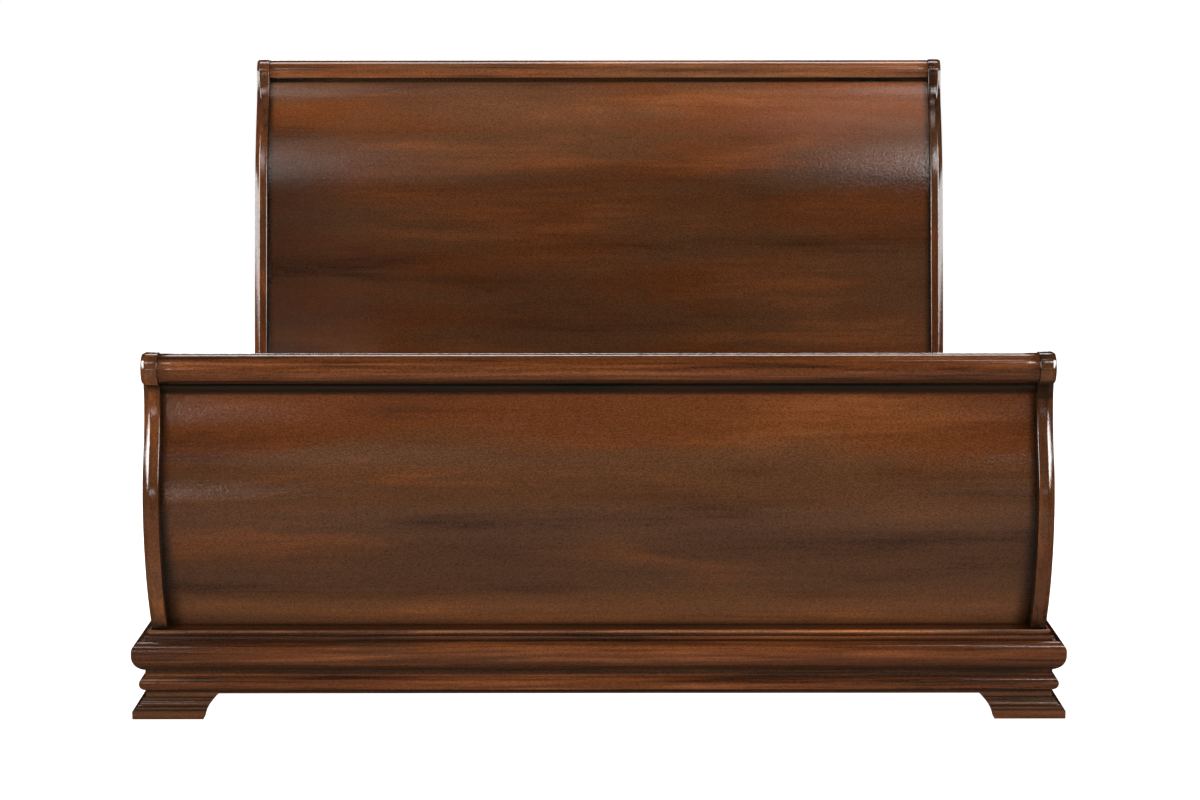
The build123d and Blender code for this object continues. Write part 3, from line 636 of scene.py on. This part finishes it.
section = run_section(moulding_front(), moulding_depth)
section_z = section[:, 1]
moulding_corners = [(0.037, 0.1905), (0.031, 0.1795), (0.028, 0.0625), (0.028, 0.0585)]
fillets_start = (0.170, 0.175)
bead_start = (0.192, 0.195)
bead_stain_start = (0.190, 0.194)
roll_underside = (0.150, 0.116)
flat_end = (0.097, 0.102)
# Painted light: the bead, facing up, is painted much lighter than the rest of the section.
section_tone_and_light = 1.04 + 1.9 * ramp(section_z, *bead_start)
section_brown = 0.45 * ramp(section_z, *bead_stain_start) - 0.10
# Glaze and painted shade in the inner corners, less on the fillets, and deep painted shade under the large
# roll and on the flat below it.
section_shade = gathered(section, moulding_corners, CORNER_GLAZE_AND_SHADE_REACH)
section_shade = section_shade * (1.0 - 0.45 * ramp(section_z, *fillets_start))
under_roll = 0.78 * ramp(section_z, *roll_underside) * ramp(section_z, *flat_end)
section_shade = np.maximum(section_shade, under_roll)
closed_piece(
    "foot_base_moulding_run",
    "foot_base_moulding",
    front_run(section),
    lacquered("base_front_mahogany", "X", (5.0, 3.0, 0.5), light=1.05, cloud_width=14.0, streaks=0.9),
    section_shade,
    ladder=True,
    tone_and_painted_light=section_tone_and_light,
    brown=section_brown,
)
head_face_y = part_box("side_rail_right")[1][1]
head_back_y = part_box("head_base_return_right")[1][1]
for side, hand in SIDES:
    wood = lacquered(f"base_side_mahogany_{side}", "Y", (1.0, 2.0 * hand, 0.6), cloud_width=14.0, streaks=0.9)
    for node, y_low, y_high, mitred in (
        ("foot_base_return", base_y, foot_back_y, True),
        ("rail_moulding", foot_back_y + MITRE_GAP, head_face_y, False),
        ("head_base_return", head_face_y + MITRE_GAP, head_back_y, False),
    ):
        run = side_run(section, hand, y_low, y_high, mitred)
        closed_piece(
            f"{node}_{side}_run", f"{node}_{side}", run, wood, section_shade, ladder=True, tone_and_painted_light=section_tone_and_light
        )

# ---------------------------------------------------------------- bracket feet
# Each foot is sawn from a stepped moulding with a plain plinth, mitred at the corner and
# cut to an ogee at its inner end. Hardwood blocks behind them carry the weight.

BRACKET_TOE = 0.163
BRACKET_TOP = 0.196
STEP_GLAZE_AND_SHADE_REACH = 0.0032
PLINTH_TOP = 0.017


def bracket_front():
    """Front line of the foot's section, from the top down: steps, a cove, a step and the plinth."""
    return joined(
        straight((0.028, post_underside), (0.028, 0.047), 3),
        straight((0.022, 0.0463), (0.0215, 0.041), 3),
        straight((0.018, 0.040), (0.018, 0.0385)),
        arc((0.0075, 0.0395), 0.0105, -5, -90, 10),
        straight((0.0075, 0.029), (0.0075, 0.0265), 3),
        straight((0.005, 0.0258), (0.005, 0.0205), 3),
        straight((0.001, 0.019), (0.0, 0.018)),
        straight((0.0, 0.018), (0.0, 0.0005), 6),
        straight((0.0005, 0.0), (0.0006, 0.0)),
    )


def ogee_reach(z):
    """How far the foot reaches from its corner at height z: upright at the floor, flaring under the base."""
    rise = np.clip(z / post_underside, 0.0, 1.0)
    return BRACKET_TOE + (BRACKET_TOP - BRACKET_TOE) * (0.35 * rise + 0.65 * rise**2.2)


def bracket_run(mitred, count=24):
    """Distance from the corner at every station and section point: from the mitre to the ogee end."""
    start = foot_section[:, 0] + MITRE_GAP if mitred else np.zeros(len(foot_section))
    part = np.linspace(0.0, 1.0, count)[:, None]
    return start * (1 - part) + ogee_reach(foot_section[:, 1]) * part


foot_section = run_section(bracket_front(), moulding_depth)
bracket_corners = [(0.023, 0.047), (0.0175, 0.041), (0.0085, 0.029), (0.0055, 0.0205)]
# Glaze and painted shade in the corners of the steps.
foot_shade = gathered(foot_section, bracket_corners, STEP_GLAZE_AND_SHADE_REACH)
foot_tone = 1.12 - 0.37 * ramp(foot_section[:, 1], PLINTH_TOP + 0.003, PLINTH_TOP)
mitred_away = bracket_run(True)
square_away = bracket_run(False)
depth = np.broadcast_to(foot_section[:, 0], mitred_away.shape)
rise = np.broadcast_to(foot_section[:, 1], mitred_away.shape)
for side, hand in SIDES:
    front_seed = (3.0 * hand, 1.3, 2.1)
    side_seed = (0.4, 1.9 * hand, 3.0)
    front_wood = lacquered(f"bracket_front_mahogany_{side}", "X", front_seed, light=1.05, cloud_width=12.0)
    side_wood = lacquered(f"bracket_side_mahogany_{side}", "Y", side_seed, light=1.1, cloud_width=12.0)
    front = np.stack([hand * (half_width - mitred_away), base_y + depth, rise], -1)
    flank = np.stack([hand * (half_width - depth), base_y + mitred_away, rise], -1)
    heel = np.stack([hand * (half_width - depth), head_back_y - square_away, rise], -1)
    for node, points, wood in (
        (f"foot_bracket_front_{side}", front, front_wood),
        (f"foot_bracket_side_{side}", flank, side_wood),
        (f"head_bracket_{side}", heel, side_wood),
    ):
        closed_piece(f"{node}_cut", node, points, wood, foot_shade, ladder=True, tone_and_painted_light=foot_tone, brown=0.3)

# ---------------------------------------------------------------- headboard posts
# Taller planks of the same mahogany, upright at the rails, then leaning back more and
# more towards a scroll that rolls backwards. The outer arris has the same broad cant,
# which narrows towards the scroll, and the inner one is rounded.

head_post_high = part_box("head_post_right")[1]
head_scroll_radius = 0.0385
head_scroll_y = head_post_high[1] - head_scroll_radius
head_scroll_z = head_post_high[2] - head_scroll_radius
HEAD_LEAN = 9.5
HEAD_SWEEP = 27.0
head_neck_radius = 0.218
head_sweep_radius = 0.918
head_straight = 0.436
head_toe_radius = 1.818
head_depth = 0.080
inner_edge = rounding(width=0.0035, depth=0.003)
HEAD_THROAT_REACH = 0.008
HEAD_FOOT_SHARE = 0.05


def head_curve(back):
    """Headboard's curve from the front of the scroll down to its toe, moved back square to the curve.

    An arc of 27 degrees turns in under the roll, a wider one eases the lean to 9.5 degrees, a straight
    follows, and a very wide arc brings the toe upright. Each part is given from its top down.
    """
    lean = math.radians(HEAD_LEAN)
    turn = math.radians(HEAD_SWEEP)
    neck_centre = np.array([head_scroll_y - head_scroll_radius, head_scroll_z]) - (head_neck_radius, 0.0)
    neck = arc(neck_centre, head_neck_radius + back, 0, -HEAD_SWEEP, 24)
    neck_end = arc(neck_centre, head_neck_radius, 0, -HEAD_SWEEP, 2)[1]
    sweep_centre = neck_end + head_sweep_radius * np.array([math.cos(turn), -math.sin(turn)])
    sweep = arc(sweep_centre, head_sweep_radius - back, 180 - HEAD_SWEEP, 180 - HEAD_LEAN, 24)
    low_end = sweep[-1] - head_straight * np.array([math.sin(lean), math.cos(lean)])
    toe_centre = low_end + (head_toe_radius - back) * np.array([math.cos(lean), -math.sin(lean)])
    toe = arc(toe_centre, head_toe_radius - back, 180 - HEAD_LEAN, 180, 16)
    return neck[::-1], sweep[::-1], straight(sweep[-1], low_end, 24)[::-1], toe[::-1]


def head_post_outline():
    """Clockwise side view: up the front, round the scroll, and down the back.

    The spine is the arc that leaves the back along its lean and meets the scroll's throat. The scroll is an
    arc from its front at 180 degrees, over the top, to -73.
    """
    neck, sweep, middle, toe = head_curve(0.0)
    back_sweep, back_middle, back_toe = head_curve(head_depth)[1:]
    throat = np.array([head_scroll_y + 0.010, head_scroll_z - 0.034])
    lean = math.radians(HEAD_LEAN)
    chord = throat - back_sweep[0]
    bend = math.atan2(chord[0], chord[1]) - lean
    spine_radius = np.hypot(*chord) / 2 / math.sin(bend)
    spine_centre = back_sweep[0] + spine_radius * np.array([math.cos(lean), -math.sin(lean)])
    spine_first = 180 - HEAD_LEAN
    spine = arc(spine_centre, spine_radius, spine_first, spine_first - math.degrees(2 * bend), 24)
    scroll = arc((head_scroll_y, head_scroll_z), head_scroll_radius, 180, -73, 60)
    front_foot = (toe[0][0], post_underside)
    back_foot = (back_toe[0][0], post_underside)
    return joined(
        straight(front_foot, toe[0], 6),
        toe,
        middle,
        sweep,
        neck,
        scroll,
        spine[::-1],
        back_middle[::-1],
        back_toe[::-1],
        straight(back_toe[0], back_foot, 6),
        straight(back_foot, front_foot, 3),
    )


head_outline = head_post_outline()
off_scroll = np.linalg.norm(head_outline - (head_scroll_y, head_scroll_z), axis=1) - head_scroll_radius
head_share = SCROLL_SHARE + (1.0 - SCROLL_SHARE) * ramp(off_scroll, 0.002, 0.070)
head_share = np.where(head_outline[:, 1] < post_underside + 0.001, HEAD_FOOT_SHARE, head_share)
head_throat = (head_scroll_y + 0.012, head_scroll_z - 0.036)
for side, hand in SIDES:
    body = plank(head_outline, post_in, post_out, inner_edge, wide_cant, head_share)
    # Glaze and painted shade in the scroll's throat and on the inner face by the panel.
    glaze_and_shade = gathered(body[..., 1:], [head_throat], HEAD_THROAT_REACH)
    glaze_and_shade = np.maximum(glaze_and_shade, 0.6 * ramp(body[..., 0], post_in + JOINT_GLAZE_AND_SHADE_WIDTH, post_in))
    body[..., 0] *= hand
    # Painted light: the left post's colour is painted brighter than the right's.
    light = 1.07 - 0.07 * hand
    grain = lacquered(f"head_post_mahogany_{side}", "Z", (2.3 * hand, 0.7, 1.4), light, cloud_width=9.0)
    closed_piece(f"head_post_{side}_scrolled", f"head_post_{side}", body, grain, glaze_and_shade, brown=-0.08)

# ---------------------------------------------------------------- headboard panel and roll
# The tall bent panel is laid up like the footboard's, with a warmer sheet of veneer. Its stain
# is painted lighter towards the top, as painted light on the backward lean. Its top edge runs up
# into the underside of a round rail dowelled between the scrolls.

head_recess = 0.014
head_roll_low, head_roll_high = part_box("head_roll_rail")
head_roll_radius = (head_roll_high[2] - head_roll_low[2]) / 2
head_roll_z = (head_roll_high[2] + head_roll_low[2]) / 2
head_panel_low, head_panel_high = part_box("head_panel")
light_half_up = (1.06, 1.20)
light_top_up = (1.19, 1.31)
light_top_across = (0.3, 0.95)
dark_left_across = (-0.72, -0.95)
dark_left_up = (1.27, 1.20)


def head_board(back):
    """One face of the headboard's panel, from inside the bottom rail to inside the roll."""
    neck, sweep, middle, toe = head_curve(back)
    neck = neck[neck[:, 1] < head_panel_high[2]]
    tongue = straight((toe[0][0], head_panel_low[2]), toe[0], 4)
    return np.vstack([tongue, toe[1:], middle[1:], sweep[1:], neck[1:]])


head_panel_outline = bent_board(head_board(head_recess), head_board(head_recess + PANEL_THICK))
head_panel = spanning(head_panel_outline, across_stations(panel_reach))
x = head_panel[..., 0]
z = head_panel[..., 2]
# Glaze and painted shade beside the posts, and a painted shadow under the roll.
shade = 0.85 * ramp(np.abs(x), post_in - 0.022, post_in)
shade = np.maximum(shade, ramp(z, head_roll_z - 0.0385, head_roll_z - 0.0315))
# Painted light in the tone: lighter over the upper half and again at the top, most on the right, darker
# towards the left edge below the top, and lighter towards the right.
light_top = ramp(z, *light_top_up) * (0.50 + 0.55 * ramp(x, *light_top_across))
dark_left = 0.22 * ramp(x, *dark_left_across) * ramp(z, *dark_left_up)
closed_piece(
    "head_panel_bent",
    "head_panel",
    head_panel,
    lacquered("head_panel_mahogany", "X", (7.0, 0.2, 0.35), streaks=0.15, clouds=0.65, film=2.6),
    shade,
    tone_and_painted_light=0.98 + 0.51 * ramp(z, *light_half_up) + light_top - dark_left + 0.06 * x,
)

head_round = arc((head_scroll_y, head_roll_z), head_roll_radius, 270, -86, 72)
head_roll = plank(head_round, -post_in, post_in, roll_edge, roll_edge, middle=60)
fall = head_roll_z - head_roll[..., 2]
# Painted shade under the front of the roll. Painted light: the roll's colour is painted brighter than the
# other pieces, lighter towards its underside and towards the right.
under_front = 0.9 * ramp(fall, 0.0185, 0.022) * ramp(head_roll[..., 1], head_scroll_y, head_scroll_y - 0.01)
joint_shade = 0.7 * ramp(np.abs(head_roll[..., 0]), post_in - JOINT_SHADE_WIDTH, post_in)
closed_piece(
    "head_roll_turned",
    "head_roll_rail",
    head_roll,
    lacquered("head_roll_mahogany", "X", (1.4, 2.2, 0.3), light=2.1, cloud_width=16.0, streaks=0.6),
    np.maximum(under_front, joint_shade),
    tone_and_painted_light=0.94 + 0.35 * ramp(fall, -0.020, 0.018) + 0.12 * head_roll[..., 0],
)

# ---------------------------------------------------------------- headboard's bottom rail and side rails
# Planed boards with eased edges: the rail that the headboard's panel stands in, and the
# two side rails that hook into the posts.

rail_low, rail_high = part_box("head_bottom_rail")
bottom_section = eased_section(rail_low[1:], rail_high[1:], radius=0.002)
bottom_rail = spanning(bottom_section, across_stations(rail_high[0]))
bottom_wood = lacquered("head_rail_mahogany", "X", (3.3, 1.2, 5.0), light=0.9, cloud_width=8.0)
closed_piece("head_bottom_rail_planed", "head_bottom_rail", bottom_rail, bottom_wood, glaze_and_shade=0.1)
for side, hand in SIDES:
    low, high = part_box(f"side_rail_{side}")
    rim = eased_section((low[0], low[2]), (high[0], high[2]), radius=0.003)
    y = np.linspace(low[1] + MITRE_GAP, high[1] - MITRE_GAP, 60)[:, None] + 0.0 * rim[:, 0]
    side_rail = np.stack([np.broadcast_to(rim[:, 0], y.shape), y, np.broadcast_to(rim[:, 1], y.shape)], -1)
    rail_wood = lacquered(f"side_rail_mahogany_{side}", "Y", (low[0], 0.9, 2.7), cloud_width=7.0)
    closed_piece(f"side_rail_{side}_planed", f"side_rail_{side}", side_rail, rail_wood, glaze_and_shade=0.05)

# ---------------------------------------------------------------- slats, ledgers, beam and legs
# Plain planed poplar that the mattress hides: slats laid across, ledgers screwed to the
# rails, a beam down the middle on three square beech legs, and blocks behind the feet.

POPLAR_PALE = (0.56, 0.41, 0.245)
POPLAR_DEEP = (0.43, 0.29, 0.155)
BEECH_PALE = (0.47, 0.31, 0.175)
BEECH_DEEP = (0.36, 0.215, 0.11)
TIMBER_CLOUD = (0.75, 0.62, 0.50)
TIMBER_FIBRE = (0.70, 0.60, 0.50)


def bare_timber(name, along, seed, pale, deep):
    """Unfinished planed timber: growth rings cut lengthwise as warped bands, fine fibre, a matt surface."""
    material = bpy.data.materials.new(name)
    material.use_nodes = True
    tree = material.node_tree
    surface = tree.nodes["Principled BSDF"]
    cloud = figure(tree, along, seed, stretch=6.0, scale=1.6, detail=3.0, roughness=0.5, warp=0.4)
    ring = figure(tree, along, seed, stretch=22.0, scale=2.6, detail=3.0, roughness=0.55, warp=1.2)
    fibre = figure(tree, along, seed, stretch=30.0, scale=40.0, detail=3.0, roughness=0.6)
    colour = mixed(tree, "MIX", spread(tree, ring, 0.38, 0.62), pale, deep)
    cloud_share = spread(tree, cloud, 0.35, 0.65, bottom=0.35, top=0.0)
    colour = mixed(tree, "MULTIPLY", cloud_share, colour, TIMBER_CLOUD)
    fibre_share = spread(tree, fibre, 0.40, 0.60, bottom=0.30, top=0.0)
    colour = mixed(tree, "MULTIPLY", fibre_share, colour, TIMBER_FIBRE)
    tree.links.new(colour, surface.inputs["Base Color"])
    tree.links.new(spread(tree, fibre, 0.3, 0.7, bottom=0.75, top=0.58), surface.inputs["Roughness"])
    bump = tree.nodes.new("ShaderNodeBump")
    bump.inputs["Strength"].default_value = 0.3
    bump.inputs["Distance"].default_value = 0.0004
    tree.links.new(fibre, bump.inputs["Height"])
    tree.links.new(bump.outputs["Normal"], surface.inputs["Normal"])
    return material


def dress(node, material):
    """Give a carried-over CAD piece its finish."""
    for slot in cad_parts[node].material_slots:
        slot.link = "OBJECT"
        slot.material = material


slat_wood = bare_timber("slat_poplar", "X", (0.0, 0.3, 0.1), POPLAR_PALE, POPLAR_DEEP)
long_wood = bare_timber("ledger_poplar", "Y", (0.5, 0.0, 0.2), POPLAR_PALE, POPLAR_DEEP)
cross_wood = bare_timber("apron_poplar", "X", (1.5, 0.6, 0.2), BEECH_PALE, BEECH_DEEP)
leg_wood = bare_timber("leg_beech", "Z", (0.2, 0.5, 0.0), BEECH_PALE, BEECH_DEEP)
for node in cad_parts:
    if node.startswith("slat_") and node[5:].isdigit():
        dress(node, slat_wood)
    elif node.startswith("slat_ledger") or node == "centre_beam":
        dress(node, long_wood)
    elif node in ("foot_apron_board", "foot_back_rail", "roll_dowels"):
        dress(node, cross_wood)
    elif node.startswith("centre_leg") or node == "corner_blocks":
        dress(node, leg_wood)

# ---------------------------------------------------------------- steel fittings
# Pressed and turned steel with bright zinc plating: hook plates, slotted plates, beam
# saddles, screws, and the levellers that screw down out of the centre legs.

ZINC_DULL = (0.50, 0.51, 0.53)
ZINC_BRIGHT = (0.66, 0.67, 0.68)
STEEL_PLATES = ("rail_hook_plates", "post_strike_plates", "beam_saddles")


def zinc_plate(name):
    """Bright zinc on steel: a cool grey with a faint cloudy spangle and fine scratches in its roughness."""
    material = bpy.data.materials.new(name)
    material.use_nodes = True
    tree = material.node_tree
    surface = tree.nodes["Principled BSDF"]
    spangle = figure(tree, "X", (0.0, 0.0, 0.0), stretch=1.0, scale=55.0, detail=2.0, roughness=0.5)
    scratch = figure(tree, "X", (1.0, 0.0, 0.0), stretch=14.0, scale=90.0, detail=2.0, roughness=0.6)
    colour = mixed(tree, "MIX", spread(tree, spangle, 0.35, 0.65), ZINC_DULL, ZINC_BRIGHT)
    tree.links.new(colour, surface.inputs["Base Color"])
    tree.links.new(spread(tree, scratch, 0.3, 0.7, bottom=0.28, top=0.42), surface.inputs["Roughness"])
    surface.inputs["Metallic"].default_value = 1.0
    return material


zinc = zinc_plate("bright_zinc")
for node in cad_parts:
    if node in STEEL_PLATES or "screws" in node or node.startswith("leveller"):
        dress(node, zinc)

# ---------------------------------------------------------------- floor, lights and camera
# A plain white floor under an even white surround. Large soft boxes light the wood from
# both sides, above, below and behind, and smaller ones that only the lacquer mirrors
# draw the highlights along the posts, the rolls and the bend of the panels.

FLOOR_REACH = 400.0
floor_mesh = bpy.data.meshes.new("floor")
corner = FLOOR_REACH * np.array([(-1, -1, 0), (1, -1, 0), (1, 1, 0), (-1, 1, 0)], float)
floor_mesh.from_pydata(corner.tolist(), [], [(0, 1, 2, 3)])
floor = bpy.data.objects.new("floor", floor_mesh)
bpy.context.scene.collection.objects.link(floor)
floor_material = bpy.data.materials.new("floor_white")
floor_material.use_nodes = True
floor_surface = floor_material.node_tree.nodes["Principled BSDF"]
floor_surface.inputs["Base Color"].default_value = (0.5, 0.5, 0.5, 1.0)
floor_surface.inputs["Roughness"].default_value = 0.9
floor_surface.inputs["Specular IOR Level"].default_value = 0.0
floor_surface.inputs["Emission Color"].default_value = (1.0, 1.0, 1.0, 1.0)
floor_surface.inputs["Emission Strength"].default_value = 1.0
floor_mesh.materials.append(floor_material)
floor.visible_glossy = False
floor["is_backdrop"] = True

world = bpy.data.worlds.new("studio")
world.use_nodes = True
world.node_tree.nodes["Background"].inputs["Color"].default_value = (1.0, 1.0, 1.0, 1.0)
world.node_tree.nodes["Background"].inputs["Strength"].default_value = 1.0
world.cycles_visibility.diffuse = False
world.cycles_visibility.glossy = False
bpy.context.scene.world = world


def soft_box(name, place, aim, size, brightness, matt=True, gloss=True, lean=0.0):
    """Rectangular lamp at place, facing aim. Its power is brightness times pi times its area.

    matt and gloss say whether it lights the wood and whether the lacquer mirrors it. lean turns it in its
    own plane, in degrees.
    """
    lamp = bpy.data.lights.new(name, "AREA")
    lamp.shape = "RECTANGLE"
    lamp.size = size[0]
    lamp.size_y = size[1]
    lamp.energy = brightness * math.pi * size[0] * size[1]
    holder = bpy.data.objects.new(name, lamp)
    bpy.context.scene.collection.objects.link(holder)
    way = Vector(aim) - Vector(place)
    facing = way.to_track_quat("-Z", "Y") @ Quaternion((0.0, 0.0, 1.0), math.radians(lean))
    holder.rotation_euler = facing.to_euler()
    holder.location = place
    holder.visible_camera = False
    holder.visible_diffuse = matt
    holder.visible_glossy = gloss


def shine(name, place, aim, size, brightness, lean=0.0):
    """Soft box that only the lacquer mirrors."""
    soft_box(name, place, aim, size, brightness, matt=False, lean=lean)


for hand in (-1, 1):
    soft_box("key", (3.0 * hand, -6.5, 2.7), (0.0, -0.2, 0.7), size=(1.2, 4.2), brightness=12.0, gloss=False)
    front_glow = 13.0 - 8.0 * hand
    high_glow = 13.0 + 4.0 * hand
    slant_place = (3.9 * hand, -2.65, 2.5)
    shine("front", (2.1 * hand, -6.5, 1.2), (1.0 * hand, -1.2, 0.7), size=(0.3, 0.3), brightness=front_glow)
    shine("high", (1.85 * hand, -3.5, 3.65), (0.9 * hand, 1.0, 1.2), size=(0.45, 0.7), brightness=high_glow)
    shine("slant", slant_place, (0.0, -2.65, 2.5), size=(3.0, 1.9), brightness=24.0, lean=38.0 * hand)
    shine("edge", (3.9 * hand, -0.4, 1.5), (0.0, -0.4, 1.5), size=(2.2, 0.7), brightness=11.0)
    soft_box("side", (4.2 * hand, 0.6, 2.6), (0.0, 0.2, 0.6), size=(1.4, 1.6), brightness=6.0, gloss=False)
shine("slope", (-1.1, -5.0, 3.97), (-0.6, -1.1, 0.62), size=(1.2, 0.5), brightness=0.8)
shine("crest", (1.55, -3.2, 5.7), (0.9, 1.0, 1.27), size=(0.4, 0.4), brightness=11.0)
soft_box("overhead", (0.0, 1.6, 4.6), (0.0, 0.4, 0.0), size=(4.0, 1.0), brightness=8.0)
soft_box("sky", (0.0, 0.2, 4.5), (0.0, 0.0, 0.0), size=(5.0, 3.0), brightness=1.3, gloss=False)
shine("sheen", (0.0, -3.2, 0.02), (0.0, -3.2, 1.0), size=(7.0, 2.9), brightness=0.19)
shine("toe", (0.0, -1.48, 0.005), (0.0, -1.48, 1.0), size=(3.4, 0.54), brightness=0.13)
soft_box("low", (0.0, -3.6, 0.05), (0.0, -1.2, 0.35), size=(5.0, 1.2), brightness=1.2, gloss=False)
soft_box("back", (0.0, 5.5, 2.4), (0.0, 0.0, 0.7), size=(4.0, 1.2), brightness=6.0)

CAMERA_DISTANCE = 6.549
CAMERA_HEIGHT = 1.7006
CAMERA_DIP = 8.349
CAMERA_TILT = 0.05
camera_data = bpy.data.cameras.new("camera")
camera_data.lens = 88.01
camera_data.sensor_width = 36.0
camera = bpy.data.objects.new("camera", camera_data)
bpy.context.scene.collection.objects.link(camera)
camera.location = (0.0040, base_y - CAMERA_DISTANCE, CAMERA_HEIGHT)
camera.rotation_euler = (math.radians(90 - CAMERA_DIP), math.radians(CAMERA_TILT), 0.0)
bpy.context.scene.camera = camera
bpy.context.scene.view_settings.view_transform = "Standard"

low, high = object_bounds()
